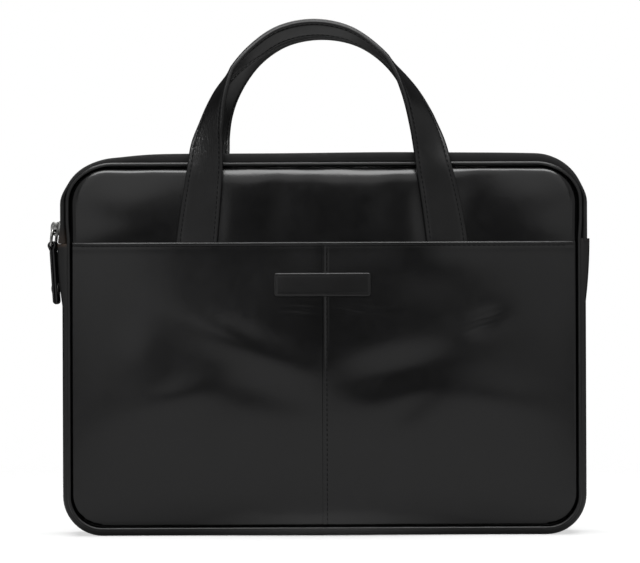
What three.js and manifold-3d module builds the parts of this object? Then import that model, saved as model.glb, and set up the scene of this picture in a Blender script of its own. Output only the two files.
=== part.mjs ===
// A slim leather laptop bag: padded walls, a zip over its top, a front slip pocket and two handles.
// Millimetres. +X is to the right seen from the front, +Y to the back, +Z up.
// The origin is the middle of the flat bottom that the bag stands on.
import * as THREE from "three";
import { mergeVertices } from "three/addons/utils/BufferGeometryUtils.js";
import Module from "manifold-3d";

// Rim: the outermost line of the zip and the gusset, a rounded outline seen from the front
const BODY_WIDTH = 380;
const BODY_HEIGHT = 278;
const TOP_CORNER = 37;
const BOTTOM_CORNER = 29;
const CORNER_STEPS = 6;
const SIDE_STEPS = 4;
const LEVEL_STEPS = 6;
const GAP = 0.3;

// Gusset: the leather strip of the bottom and the lower sides, flared out where it laps the zip
const GUSSET_END = 212;
const GUSSET_LEATHER = 2.4;
const GUSSET_FLARE = 2.7;
const GUSSET_FLARE_LENGTH = 62;
// across: distance from the middle of the strip; drop: depth under the rim; share: of flare or sag
const GUSSET_SECTION = [
  { across: 21.9, drop: 4.8, share: 0 },
  { across: 21.4, drop: 2.6, share: 0.3 },
  { across: 19.8, drop: 0.8, share: 0.7 },
  { across: 17, drop: 0, share: 1 },
];

// Zip: two leather strips, the cloth tape under them and the row of teeth between them
const STRIP_LEATHER = 2.2;
const STRIP_SECTION = [
  { across: 21.9, drop: 4.8, share: 0 },
  { across: 21.2, drop: 3.4, share: 0.35 },
  { across: 18.5, drop: 2.3, share: 0.75 },
  { across: 13, drop: 1.4, share: 1 },
  { across: 6, drop: 0.9, share: 1 },
];
const ZIP_FLARE = 1.5;
const ZIP_FLARE_TOP = 272;
const ZIP_SAG = { x: -160, reach: 22, depth: 3.2 };
const TAPE_HALF_WIDTH = 9;
const TAPE_DROP = 3.4;
const TAPE_THICKNESS = 0.8;
const TAPE_TUCK = 8;
const TEETH_HALF_WIDTH = 3;
const TEETH_CLEARANCE = 2;

// Piping: a leather cord in the seam round each panel
const PIPING_INSET = 7;
const PIPING_RADIUS = 1.9;
const PIPING_DEPTH = 22.4;
const PIPING_SIDES = 8;

// Panels: the padded front and back walls, rolled in at the border and slightly crowned
const PANEL_INSET = 9.2;
const PANEL_BORDER_DEPTH = 22;
const PANEL_ROLL = 2.6;
const PANEL_ROLL_REACH = 9;
const PANEL_CROWN = 1.2;
const PANEL_PADDING = 6;
const PANEL_SEAM = 3.4;
const PANEL_COLUMNS = 7;
const PANEL_COLUMN_EASE = 2;
const PANEL_ROWS = 6;

// Slip pocket: two leather pieces over the front panel, with a seam between them
const POCKET_MOUTH = 212.6;
const POCKET_SEAM_X = -1.4;
const POCKET_LEATHER = 1.8;
const POCKET_ROOM = 6;
const POCKET_SIDE_REACH = 45;
const POCKET_BOTTOM_REACH = 60;
const POCKET_COLUMNS = 14;
const POCKET_COLUMN_EASE = 1.5;
const POCKET_ROWS = 13;
// Soft folds of the pocket leather: middle, half length, half width, turn from +X in degrees, rise
const POCKET_FOLDS = [
  { x: -46, z: 127, length: 49, width: 14, turn: -28, rise: 1.1 },
  { x: -38, z: 98, length: 35, width: 11, turn: -8, rise: -1 },
  { x: -118, z: 85, length: 50, width: 13, turn: 21, rise: 1 },
  { x: 53, z: 132, length: 40, width: 13, turn: 16, rise: 1 },
  { x: 65, z: 108, length: 30, width: 16, turn: 25, rise: -1.2 },
  { x: 29, z: 76, length: 35, width: 13, turn: -43, rise: 1 },
  { x: 117, z: 155, length: 15, width: 9, turn: 25, rise: -0.7 },
  { x: -77, z: 153, length: 40, width: 17, turn: -20, rise: -0.7 },
];

// Label: a bare leather patch over the pocket seam
const LABEL = { x: -1.2, z: 181.8, width: 70, height: 17, corner: 2.2, thickness: 1.4 };
const LABEL_STEPS = 6;

// Handles: flat straps that rise from the panels and turn edge-on into an arch
const STRAP_THICKNESS = 3.6;
const STRAP_EDGE = 1.1;
const STRAP_STEPS = 2;
const HANDLE_SHIFT = -1.4;
// side: distance from the handle's middle; depth: from the bag's middle;
// front, back: twist of the left and the right leg of each handle in degrees
const HANDLE_ARCH = [
  { side: 92.4, height: 190, depth: 27.5, width: 29.5, front: [0, 0], back: [0, 0] },
  { side: 90.2, height: 214.5, depth: 27.5, width: 29.5, front: [0, 0], back: [0, 0] },
  { side: 86.4, height: 243, depth: 27.5, width: 27.8, front: [0, 0], back: [0, 0] },
  { side: 82.4, height: 268, depth: 27.8, width: 25.6, front: [2, 2], back: [2, 2] },
  { side: 80.5, height: 280, depth: 28.2, width: 25, front: [16, 16], back: [14, 16] },
  { side: 77.4, height: 294, depth: 28, width: 24.5, front: [41, 34], back: [28, 34] },
  { side: 73.3, height: 308.5, depth: 27, width: 24, front: [58, 49], back: [40, 50] },
  { side: 67.5, height: 323, depth: 25.5, width: 24, front: [73, 65], back: [52, 68] },
  { side: 59.2, height: 337.5, depth: 23.8, width: 24, front: [91, 82], back: [64, 82] },
  { side: 46, height: 353, depth: 22, width: 24, front: [107, 97], back: [80, 89] },
  { side: 27, height: 366.5, depth: 21, width: 24, front: [111, 105], back: [89, 90] },
  { side: 0, height: 372.2, depth: 20.5, width: 24, front: [110, 110], back: [90, 90] },
];
// lean, drop, spread: shifts of the arch's top; belly: how far the left leg bows out
const HANDLES = [
  { name: "handle_front", twist: "front", toward: -1, lean: -5.8, drop: 0, spread: 0, belly: 0 },
  { name: "handle_back", twist: "back", toward: 1, lean: 0.8, drop: 7, spread: 4, belly: 3.8 },
];

// Zip pull: a slider with a bridge, a wire link through it, and a folded leather tab with a rivet
const SLIDER_HEIGHT = 222;
const SLIDER_LENGTH = 11;
const SLIDER_HALF_WIDTH = 4.7;
const SLIDER_TAIL_HALF_WIDTH = 3.9;
const SLIDER_PLATE = 2.2;
const SLIDER_CHEEK = 1.3;
const SLIDER_CHEEK_DEPTH = 2.6;
const SLIDER_CHEEK_LENGTH = 8.8;
const BRIDGE_RISE = 5.6;
const BRIDGE_BAR = 1.6;
const BRIDGE_HALF_LENGTH = 4.6;
const BRIDGE_WIDTH = 2.5;
const LINK_WIRE = 0.9;
const LINK_HALF_WIDTH = 6.9;
const LINK_DROP = 11;
const LINK_OUT = 1.7;
const LINK_STRAIGHT = 0.86;
const LINK_STEPS = 28;
const LINK_SIDES = 6;
const TAB_WIDTH = 9.6;
const TAB_HALF_THICKNESS = 1.8;
const TAB_LENGTH = 41.5;
const TAB_FOLD = 2.9;
const TAB_LEAN = THREE.MathUtils.degToRad(4);
const RIVET_DROP = 31.8;
const RIVET_HEAD = 4.1;
const RIVET_SHANK = 1.6;
const RIVET_DOME = 1.2;
const RIVET_SIDES = 14;

const BLACK_LEATHER = new THREE.MeshStandardMaterial({ color: 0x17171a, roughness: 0.42 });
const BLACK_TAPE = new THREE.MeshStandardMaterial({ color: 0x101011, roughness: 0.9 });
const BLACK_TEETH = new THREE.MeshStandardMaterial({ color: 0x1b1b1d, roughness: 0.5 });
const CHROME = new THREE.MeshStandardMaterial({ color: 0xd6d8da, roughness: 0.18, metalness: 1 });

const smooth = (share) => THREE.MathUtils.smoothstep(share, 0, 1);
const quarterRound = (share) => Math.sqrt(1 - (1 - THREE.MathUtils.clamp(share, 0, 1)) ** 2);

const wasm = await Module();
wasm.setup();

// A closed geometry as a solid for joining and cutting, and the way back
function asSolid(geometry) {
  const bare = geometry.clone();
  bare.deleteAttribute("normal");
  bare.deleteAttribute("uv");
  const merged = mergeVertices(bare, 1e-3);
  const vertProperties = merged.attributes.position.array;
  const triVerts = new Uint32Array(merged.index.array);
  return new wasm.Manifold(new wasm.Mesh({ numProp: 3, vertProperties, triVerts }));
}

function asGeometry(solid) {
  const mesh = solid.getMesh();
  const geometry = new THREE.BufferGeometry();
  geometry.setAttribute("position", new THREE.BufferAttribute(mesh.vertProperties, 3));
  geometry.setIndex(new THREE.BufferAttribute(mesh.triVerts, 1));
  geometry.computeVertexNormals();
  return geometry;
}

// A geometry from points and triangles, turned so that its faces point out
function facingOut(points, triangles) {
  let volume = 0;
  for (let i = 0; i < triangles.length; i += 3) {
    const [a, b, c] = triangles.slice(i, i + 3).map((corner) => points[corner]);
    volume += a.dot(b.clone().cross(c));
  }
  const geometry = new THREE.BufferGeometry().setFromPoints(points);
  geometry.setIndex(volume < 0 ? triangles.reverse() : triangles);
  geometry.computeVertexNormals();
  return geometry;
}

// A sheet with two faces, each a grid of points, closed along its four borders
function sheetGeometry(outer, inner) {
  const rows = outer.length;
  const columns = outer[0].length;
  const triangles = [];
  const at = (face, row, column) => (face * rows + row) * columns + column;
  const quad = (a, b, c, d) => triangles.push(a, b, c, a, c, d);
  for (let row = 0; row < rows - 1; row += 1) {
    for (let column = 0; column < columns - 1; column += 1) {
      quad(at(0, row, column), at(0, row + 1, column), at(0, row + 1, column + 1), at(0, row, column + 1));
      quad(at(1, row, column), at(1, row, column + 1), at(1, row + 1, column + 1), at(1, row + 1, column));
    }
    const last = columns - 1;
    quad(at(0, row, 0), at(1, row, 0), at(1, row + 1, 0), at(0, row + 1, 0));
    quad(at(0, row, last), at(0, row + 1, last), at(1, row + 1, last), at(1, row, last));
  }
  for (let column = 0; column < columns - 1; column += 1) {
    const last = rows - 1;
    quad(at(0, 0, column), at(0, 0, column + 1), at(1, 0, column + 1), at(1, 0, column));
    quad(at(0, last, column), at(1, last, column), at(1, last, column + 1), at(0, last, column + 1));
  }
  return facingOut([...outer.flat(), ...inner.flat()], triangles);
}

// A bar through convex rings of points, either a closed loop or with flat ends
function barGeometry(rings, closed) {
  const sides = rings[0].length;
  const spans = closed ? rings.length : rings.length - 1;
  const triangles = [];
  const at = (ring, side) => (ring % rings.length) * sides + (side % sides);
  for (let ring = 0; ring < spans; ring += 1) {
    for (let side = 0; side < sides; side += 1) {
      triangles.push(at(ring, side), at(ring, side + 1), at(ring + 1, side + 1));
      triangles.push(at(ring, side), at(ring + 1, side + 1), at(ring + 1, side));
    }
  }
  for (let side = 1; !closed && side < sides - 1; side += 1) {
    triangles.push(at(0, 0), at(0, side + 1), at(0, side));
    triangles.push(at(spans, 0), at(spans, side), at(spans, side + 1));
  }
  return facingOut(rings.flat(), triangles);
}

// Stations along the rim: a place and the direction that points out of the bag there
function straight(from, to, angle, steps) {
  return Array.from({ length: steps + 1 }, (_, i) => ({
    x: THREE.MathUtils.lerp(from.x, to.x, i / steps),
    z: THREE.MathUtils.lerp(from.z, to.z, i / steps),
    angle,
  }));
}

function corner(centreX, centreZ, radius, fromAngle, toAngle) {
  return Array.from({ length: CORNER_STEPS - 1 }, (_, i) => {
    const angle = THREE.MathUtils.lerp(fromAngle, toAngle, (i + 1) / CORNER_STEPS);
    return { x: centreX + radius * Math.cos(angle), z: centreZ + radius * Math.sin(angle), angle };
  });
}

function upperRoute(inset, end) {
  const side = BODY_WIDTH / 2 - inset;
  const top = BODY_HEIGHT - inset;
  const cornerX = BODY_WIDTH / 2 - TOP_CORNER;
  const cornerZ = BODY_HEIGHT - TOP_CORNER;
  const radius = TOP_CORNER - inset;
  return [
    ...straight({ x: -side, z: end }, { x: -side, z: cornerZ }, Math.PI, SIDE_STEPS),
    ...corner(-cornerX, cornerZ, radius, Math.PI, Math.PI / 2),
    ...straight({ x: -cornerX, z: top }, { x: cornerX, z: top }, Math.PI / 2, LEVEL_STEPS),
    ...corner(cornerX, cornerZ, radius, Math.PI / 2, 0),
    ...straight({ x: side, z: cornerZ }, { x: side, z: end }, 0, SIDE_STEPS),
  ];
}

function lowerRoute(inset, end) {
  const side = BODY_WIDTH / 2 - inset;
  const cornerX = BODY_WIDTH / 2 - BOTTOM_CORNER;
  const radius = BOTTOM_CORNER - inset;
  return [
    ...straight({ x: side, z: end }, { x: side, z: BOTTOM_CORNER }, 0, SIDE_STEPS),
    ...corner(cornerX, BOTTOM_CORNER, radius, 0, -Math.PI / 2),
    ...straight({ x: cornerX, z: inset }, { x: -cornerX, z: inset }, -Math.PI / 2, LEVEL_STEPS),
    ...corner(-cornerX, BOTTOM_CORNER, radius, -Math.PI / 2, -Math.PI),
    ...straight({ x: -side, z: BOTTOM_CORNER }, { x: -side, z: end }, -Math.PI, SIDE_STEPS),
  ];
}

const placed = (station, out, depth) =>
  new THREE.Vector3(
    station.x + out * Math.cos(station.angle),
    depth,
    station.z + out * Math.sin(station.angle),
  );

// The same section shifted inwards by the leather's thickness
function innerSection(section, thickness) {
  return section.map((point, i) => {
    const before = section[Math.max(i - 1, 0)];
    const after = section[Math.min(i + 1, section.length - 1)];
    const run = new THREE.Vector2(after.across - before.across, after.drop - before.drop).normalize();
    const across = point.across + run.y * thickness;
    const drop = point.drop - run.x * thickness;
    return { across, drop, share: point.share };
  });
}

const laidOut = (section, station, bulge) =>
  section.map(({ across, drop, share }) => placed(station, share * bulge - drop, across));

const mirrored = (section) => section.map((point) => ({ ...point, across: -point.across }));

// Gusset
function gussetGeometry() {
  const outer = [...GUSSET_SECTION, ...mirrored(GUSSET_SECTION).reverse()];
  const inner = innerSection(outer, GUSSET_LEATHER);
  const route = lowerRoute(0, GUSSET_END);
  const flare = ({ z }) => GUSSET_FLARE * (1 - smooth((GUSSET_END - z) / GUSSET_FLARE_LENGTH));
  return sheetGeometry(
    route.map((station) => laidOut(outer, station, flare(station))),
    route.map((station) => laidOut(inner, station, flare(station))),
  );
}

// Zip strips, tape and teeth, which bulge at the sides and sag at the left end of the top
function zipBulge({ x, z }) {
  const flare = ZIP_FLARE * (1 - THREE.MathUtils.smoothstep(z, BODY_HEIGHT - TOP_CORNER, ZIP_FLARE_TOP));
  const onTop = THREE.MathUtils.smoothstep(z, BODY_HEIGHT - TOP_CORNER, BODY_HEIGHT);
  const sag = onTop * ZIP_SAG.depth * Math.exp(-(((x - ZIP_SAG.x) / ZIP_SAG.reach) ** 2));
  return flare - sag;
}

function stripGeometry(toward) {
  const facing = (section) => (toward < 0 ? mirrored(section) : section);
  const outer = facing(STRIP_SECTION);
  const inner = facing(innerSection(STRIP_SECTION, STRIP_LEATHER));
  const route = upperRoute(0, GUSSET_END + GAP);
  return sheetGeometry(
    route.map((station) => laidOut(outer, station, zipBulge(station))),
    route.map((station) => laidOut(inner, station, zipBulge(station))),
  );
}

function bandGeometry(halfWidth, topDrop, bottomDrop, end) {
  const edge = (drop) => [
    { across: -halfWidth, drop, share: 1 },
    { across: halfWidth, drop, share: 1 },
  ];
  const route = upperRoute(0, end);
  return sheetGeometry(
    route.map((station) => laidOut(edge(topDrop), station, zipBulge(station))),
    route.map((station) => laidOut(edge(bottomDrop), station, zipBulge(station))),
  );
}

// Piping
function pipingGeometry(toward) {
  const upper = upperRoute(PIPING_INSET, GUSSET_END);
  const lower = lowerRoute(PIPING_INSET, GUSSET_END).slice(1, -1);
  const rings = [...upper, ...lower].map((station) =>
    Array.from({ length: PIPING_SIDES }, (_, i) => {
      const angle = (2 * Math.PI * i) / PIPING_SIDES;
      const depth = toward * PIPING_DEPTH + PIPING_RADIUS * Math.sin(angle);
      return placed(station, PIPING_RADIUS * Math.cos(angle), depth);
    }),
  );
  return barGeometry(rings, true);
}

// Distance of a point of a panel from the panel's border
function borderDistance(x, z) {
  const radius = (z > BODY_HEIGHT / 2 ? TOP_CORNER : BOTTOM_CORNER) - PANEL_INSET;
  const beyondX = Math.abs(x) - (BODY_WIDTH / 2 - PANEL_INSET - radius);
  const beyondZ = Math.abs(z - BODY_HEIGHT / 2) - (BODY_HEIGHT / 2 - PANEL_INSET - radius);
  const outside = Math.hypot(Math.max(beyondX, 0), Math.max(beyondZ, 0));
  return radius - outside - Math.min(Math.max(beyondX, beyondZ), 0);
}

// Depth of a panel's outer face from the bag's middle
function panelFace(x, z) {
  const roll = PANEL_ROLL * quarterRound(borderDistance(x, z) / PANEL_ROLL_REACH);
  const shareX = x / (BODY_WIDTH / 2 - PANEL_INSET);
  const shareZ = (z - BODY_HEIGHT / 2) / (BODY_HEIGHT / 2 - PANEL_INSET);
  return PANEL_BORDER_DEPTH + roll + PANEL_CROWN * (1 - shareX ** 2) * (1 - shareZ ** 2);
}

function panelThickness(x, z) {
  return THREE.MathUtils.lerp(PANEL_SEAM, PANEL_PADDING, smooth(borderDistance(x, z) / PANEL_ROLL_REACH));
}

// Shares of a panel's half width, closer together towards its border
function edgeShares(count, ease) {
  return Array.from({ length: count + 1 }, (_, i) => 1 - (1 - i / count) ** ease);
}

// Heights of the rows of a panel, close together round the corners, with half the width at each
function cornerRows(radius) {
  return Array.from({ length: CORNER_STEPS + 1 }, (_, i) => {
    const angle = (Math.PI / 2) * (i / CORNER_STEPS);
    return { rise: radius * (1 - Math.cos(angle)), bite: radius * (1 - Math.sin(angle)) };
  });
}

function panelRows(top, rowCount) {
  const half = BODY_WIDTH / 2 - PANEL_INSET;
  const bottomCorner = BOTTOM_CORNER - PANEL_INSET;
  const rows = cornerRows(bottomCorner).map(({ rise, bite }) => {
    return { z: PANEL_INSET + rise, half: half - bite };
  });
  const start = PANEL_INSET + bottomCorner;
  for (let i = 1; i <= rowCount; i += 1) {
    rows.push({ z: THREE.MathUtils.lerp(start, top, i / rowCount), half });
  }
  return rows;
}

function panelGeometry(toward) {
  const topCorner = TOP_CORNER - PANEL_INSET;
  const top = BODY_HEIGHT - PANEL_INSET;
  const half = BODY_WIDTH / 2 - PANEL_INSET;
  const upper = cornerRows(topCorner)
    .slice(0, -1)
    .map(({ rise, bite }) => ({ z: top - rise, half: half - bite }));
  const rows = [...panelRows(top - topCorner, PANEL_ROWS), ...upper.reverse()];
  const right = edgeShares(PANEL_COLUMNS, PANEL_COLUMN_EASE);
  const left = right.slice(1).map((share) => -share);
  const shares = [...left.reverse(), ...right];
  const face = (thicknessShare) =>
    rows.map((row) =>
      shares.map((share) => {
        const x = share * row.half;
        const depth = panelFace(x, row.z) - thicknessShare * panelThickness(x, row.z);
        return new THREE.Vector3(x, toward * depth, row.z);
      }),
    );
  return sheetGeometry(face(0), face(1));
}

// Slip pocket: its leather stands off the front panel, away from the sides and the bottom
function foldRise(x, z) {
  return POCKET_FOLDS.reduce((total, fold) => {
    const turn = THREE.MathUtils.degToRad(fold.turn);
    const along = (x - fold.x) * Math.cos(turn) + (z - fold.z) * Math.sin(turn);
    const across = (z - fold.z) * Math.cos(turn) - (x - fold.x) * Math.sin(turn);
    return total + fold.rise * Math.exp(-((along / fold.length) ** 2) - (across / fold.width) ** 2);
  }, 0);
}

function pocketFace(x, z) {
  const fromSide = BODY_WIDTH / 2 - PANEL_INSET - Math.abs(x);
  const fromBottom = z - PANEL_INSET;
  const open = smooth(fromSide / POCKET_SIDE_REACH) * smooth(fromBottom / POCKET_BOTTOM_REACH);
  return panelFace(x, z) + GAP + open * (POCKET_ROOM - GAP + foldRise(x, z)) + POCKET_LEATHER;
}

function pocketGeometry(side) {
  const rows = panelRows(POCKET_MOUTH, POCKET_ROWS);
  const shares = edgeShares(POCKET_COLUMNS, POCKET_COLUMN_EASE);
  const seam = POCKET_SEAM_X + (side * GAP) / 2;
  const face = (thickness) =>
    rows.map((row) =>
      shares.map((share) => {
        const x = THREE.MathUtils.lerp(seam, side * row.half, share);
        return new THREE.Vector3(x, thickness - pocketFace(x, row.z), row.z);
      }),
    );
  return sheetGeometry(face(0), face(POCKET_LEATHER));
}

// Label: rows of points across a rounded rectangle, laid on the pocket
function labelGeometry() {
  const halfHeight = LABEL.height / 2;
  const bites = Array.from({ length: LABEL_STEPS }, (_, i) => {
    const angle = (Math.PI / 2) * (i / (LABEL_STEPS - 1));
    return { rise: LABEL.corner * (1 - Math.cos(angle)), bite: LABEL.corner * (1 - Math.sin(angle)) };
  });
  const lower = bites.map(({ rise, bite }) => ({ z: rise - halfHeight, half: LABEL.width / 2 - bite }));
  const upper = lower.map(({ z, half }) => ({ z: -z, half })).reverse();
  const face = (stand) =>
    [...lower, ...upper].map((row) =>
      Array.from({ length: LABEL_STEPS + 1 }, (_, i) => {
        const x = LABEL.x + THREE.MathUtils.lerp(-row.half, row.half, i / LABEL_STEPS);
        const z = LABEL.z + row.z;
        return new THREE.Vector3(x, -pocketFace(x, z) - stand, z);
      }),
    );
  return sheetGeometry(face(GAP + LABEL.thickness), face(GAP));
}

// Handles: a flat section with soft edges, turned about the strap's own length. Where a strap is
// turned past edge-on, its near edge stays on the arch.
function handleGeometry({ twist, toward, lean, drop, spread, belly }) {
  const apex = HANDLE_ARCH.at(-1).height;
  const raised = (row) => smooth((row.height - GUSSET_END) / (apex - GUSSET_END));
  const above = (row) => Math.max(row.height - BODY_HEIGHT, 0) / (apex - BODY_HEIGHT);
  const bow = (row) => belly * 4 * above(row) * (1 - above(row));
  const placedRow = (row, leg, sideways) => ({
    width: row.width,
    turn: THREE.MathUtils.degToRad(row[twist][leg]),
    point: new THREE.Vector3(
      HANDLE_SHIFT + sideways + lean * raised(row),
      toward * (row.depth + spread * above(row)),
      row.height - drop * above(row),
    ),
  });
  const left = HANDLE_ARCH.map((row) => placedRow(row, 0, -row.side - bow(row)));
  const right = HANDLE_ARCH.slice(0, -1).map((row) => placedRow(row, 1, row.side));
  const rows = [...left, ...right.reverse()];
  const curve = new THREE.CatmullRomCurve3(rows.map((row) => row.point));
  const depthAxis = new THREE.Vector3(0, 1, 0);
  const spans = rows.length - 1;
  const rings = Array.from({ length: spans * STRAP_STEPS + 1 }, (_, i) => {
    const place = i / STRAP_STEPS;
    const index = Math.min(Math.floor(place), spans - 1);
    const [before, after] = rows.slice(index, index + 2);
    const between = (column) => THREE.MathUtils.lerp(before[column], after[column], place - index);
    const turn = between("turn");
    const halfWidth = between("width") / 2;
    const along = curve.getTangent(place / spans);
    const inward = depthAxis.clone().cross(along).normalize();
    const rolledOver = Math.max(-Math.cos(turn), 0) * halfWidth;
    const centre = curve.getPoint(place / spans).addScaledVector(inward, rolledOver);
    const wide = inward.multiplyScalar(Math.cos(turn)).addScaledVector(depthAxis, toward * Math.sin(turn));
    const thick = along.clone().cross(wide).normalize();
    return strapSection(halfWidth).map(({ w, t }) =>
      centre.clone().addScaledVector(wide, w).addScaledVector(thick, t),
    );
  });
  return barGeometry(rings, false);
}

function strapSection(halfWidth) {
  const half = STRAP_THICKNESS / 2;
  const quarter = [
    { w: halfWidth, t: half - STRAP_EDGE },
    { w: halfWidth - STRAP_EDGE, t: half },
  ];
  const upper = [...quarter, ...quarter.map(({ w, t }) => ({ w: -w, t })).reverse()];
  return [...upper, ...upper.map(({ w, t }) => ({ w: -w, t: -t }))];
}

// Slider, in its own frame: +X out of the bag, +Z up along the zip
function sliderGeometry() {
  const half = SLIDER_LENGTH / 2;
  const shield = new THREE.Shape();
  shield.moveTo(-SLIDER_TAIL_HALF_WIDTH, -half);
  shield.lineTo(SLIDER_TAIL_HALF_WIDTH, -half);
  shield.lineTo(SLIDER_HALF_WIDTH, half / 2);
  shield.quadraticCurveTo(SLIDER_HALF_WIDTH, half, 0, half);
  shield.quadraticCurveTo(-SLIDER_HALF_WIDTH, half, -SLIDER_HALF_WIDTH, half / 2);
  const acrossBasis = new THREE.Matrix4().makeBasis(
    new THREE.Vector3(0, 1, 0),
    new THREE.Vector3(0, 0, 1),
    new THREE.Vector3(1, 0, 0),
  );
  const settings = { bevelEnabled: false, curveSegments: 5 };
  const plate = new THREE.ExtrudeGeometry(shield, { ...settings, depth: SLIDER_PLATE });
  plate.applyMatrix4(acrossBasis).translate(GAP, 0, 0);

  const arch = new THREE.Shape();
  const foot = GAP + SLIDER_PLATE / 2;
  const crest = GAP + SLIDER_PLATE + BRIDGE_RISE;
  arch.moveTo(foot, -BRIDGE_HALF_LENGTH);
  arch.lineTo(foot, BRIDGE_HALF_LENGTH);
  arch.bezierCurveTo(crest, BRIDGE_HALF_LENGTH, crest, BRIDGE_HALF_LENGTH / 2, crest, 0);
  arch.bezierCurveTo(crest, -BRIDGE_HALF_LENGTH / 2, crest, -BRIDGE_HALF_LENGTH, foot, -BRIDGE_HALF_LENGTH);
  const eye = new THREE.Path();
  const eyeHalf = BRIDGE_HALF_LENGTH - BRIDGE_BAR - LINK_WIRE;
  eye.moveTo(GAP + SLIDER_PLATE, -eyeHalf);
  eye.lineTo(crest - BRIDGE_BAR, -eyeHalf);
  eye.lineTo(crest - BRIDGE_BAR, eyeHalf);
  eye.lineTo(GAP + SLIDER_PLATE, eyeHalf);
  arch.holes.push(eye);
  const bridge = new THREE.ExtrudeGeometry(arch, { ...settings, depth: BRIDGE_WIDTH });
  bridge.rotateX(Math.PI / 2).translate(0, BRIDGE_WIDTH / 2, 0);

  const cheekHeight = SLIDER_CHEEK_DEPTH + GAP + SLIDER_PLATE / 2;
  const cheeks = [-1, 1].map((side) =>
    new THREE.BoxGeometry(cheekHeight, SLIDER_CHEEK, SLIDER_CHEEK_LENGTH).translate(
      cheekHeight / 2 - SLIDER_CHEEK_DEPTH,
      side * (TEETH_HALF_WIDTH + GAP + SLIDER_CHEEK / 2),
      0,
    ),
  );
  const joined = [bridge, ...cheeks].reduce((solid, piece) => solid.add(asSolid(piece)), asSolid(plate));
  return asGeometry(joined);
}

// Pull link: a closed wire loop hanging from the bridge, its upper bar on the hinge axis
function linkGeometry() {
  const corners = [
    { y: -1, down: 0 },
    { y: 1, down: 0 },
    { y: 1, down: 1 },
    { y: -1, down: 1 },
  ];
  const points = corners.flatMap((here, i) => {
    const ahead = corners[(i + 1) % corners.length];
    return [1 - LINK_STRAIGHT, 0.5, LINK_STRAIGHT].map((share) => {
      const y = THREE.MathUtils.lerp(here.y, ahead.y, share) * LINK_HALF_WIDTH;
      const down = THREE.MathUtils.lerp(here.down, ahead.down, share);
      return new THREE.Vector3(-LINK_OUT * down, y, -LINK_DROP * down);
    });
  });
  const loop = new THREE.CatmullRomCurve3(points, true);
  return new THREE.TubeGeometry(loop, LINK_STEPS, LINK_WIRE, LINK_SIDES, true);
}

// Pull tab: leather folded round the link's lower bar, seen along the bar, with a hole for the rivet
function tabGeometry() {
  const meet = -Math.sqrt(TAB_FOLD ** 2 - TAB_HALF_THICKNESS ** 2);
  const meetAngle = Math.atan2(meet, TAB_HALF_THICKNESS);
  const outline = new THREE.Shape();
  outline.absarc(0, 0, TAB_FOLD, meetAngle, Math.PI - meetAngle, false);
  outline.lineTo(-TAB_HALF_THICKNESS, -TAB_LENGTH + TAB_HALF_THICKNESS / 2);
  outline.lineTo(-TAB_HALF_THICKNESS / 2, -TAB_LENGTH);
  outline.lineTo(TAB_HALF_THICKNESS / 2, -TAB_LENGTH);
  outline.lineTo(TAB_HALF_THICKNESS, -TAB_LENGTH + TAB_HALF_THICKNESS / 2);
  const eye = new THREE.Path();
  eye.absarc(0, 0, LINK_WIRE + GAP, 0, 2 * Math.PI, false);
  outline.holes.push(eye);
  const settings = { bevelEnabled: false, curveSegments: 7, depth: TAB_WIDTH };
  const folded = new THREE.ExtrudeGeometry(outline, settings);
  folded.rotateX(Math.PI / 2).translate(0, TAB_WIDTH / 2, 0);
  const hole = new THREE.CylinderGeometry(RIVET_SHANK + GAP, RIVET_SHANK + GAP, 4 * TAB_FOLD, RIVET_SIDES);
  hole.rotateZ(Math.PI / 2).translate(0, 0, -RIVET_DROP);
  return asGeometry(asSolid(folded).subtract(asSolid(hole)));
}

// Rivet: a shank with a domed head on each face of the tab
function rivetGeometry() {
  const seat = TAB_HALF_THICKNESS + GAP;
  const half = [
    new THREE.Vector2(RIVET_SHANK, seat),
    new THREE.Vector2(RIVET_HEAD, seat),
    new THREE.Vector2(RIVET_HEAD, seat + RIVET_DOME / 3),
    new THREE.Vector2((2 * RIVET_HEAD) / 3, seat + (5 * RIVET_DOME) / 6),
    new THREE.Vector2(0, seat + RIVET_DOME),
  ];
  const profile = [...half.map(({ x, y }) => new THREE.Vector2(x, -y)).reverse(), ...half];
  return new THREE.LatheGeometry(profile, RIVET_SIDES).rotateZ(Math.PI / 2);
}

const bag = new THREE.Group();

function addPiece(group, name, geometry, material) {
  const piece = new THREE.Mesh(geometry, material);
  piece.name = name;
  group.add(piece);
  return piece;
}

addPiece(bag, "gusset", gussetGeometry(), BLACK_LEATHER);
addPiece(bag, "front_panel", panelGeometry(-1), BLACK_LEATHER);
addPiece(bag, "back_panel", panelGeometry(1), BLACK_LEATHER);
addPiece(bag, "front_piping", pipingGeometry(-1), BLACK_LEATHER);
addPiece(bag, "back_piping", pipingGeometry(1), BLACK_LEATHER);
addPiece(bag, "zip_strip_front", stripGeometry(-1), BLACK_LEATHER);
addPiece(bag, "zip_strip_back", stripGeometry(1), BLACK_LEATHER);
const tapeBottom = TAPE_DROP + TAPE_THICKNESS;
const tape = bandGeometry(TAPE_HALF_WIDTH, TAPE_DROP, tapeBottom, GUSSET_END - TAPE_TUCK);
addPiece(bag, "zip_tape", tape, BLACK_TAPE);
const teeth = bandGeometry(TEETH_HALF_WIDTH, 0, TAPE_DROP - GAP, GUSSET_END + TEETH_CLEARANCE);
addPiece(bag, "zip_chain", teeth, BLACK_TEETH);
addPiece(bag, "pocket_left", pocketGeometry(-1), BLACK_LEATHER);
addPiece(bag, "pocket_right", pocketGeometry(1), BLACK_LEATHER);
addPiece(bag, "label", labelGeometry(), BLACK_LEATHER);
HANDLES.forEach((handle) => addPiece(bag, handle.name, handleGeometry(handle), BLACK_LEATHER));

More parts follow.
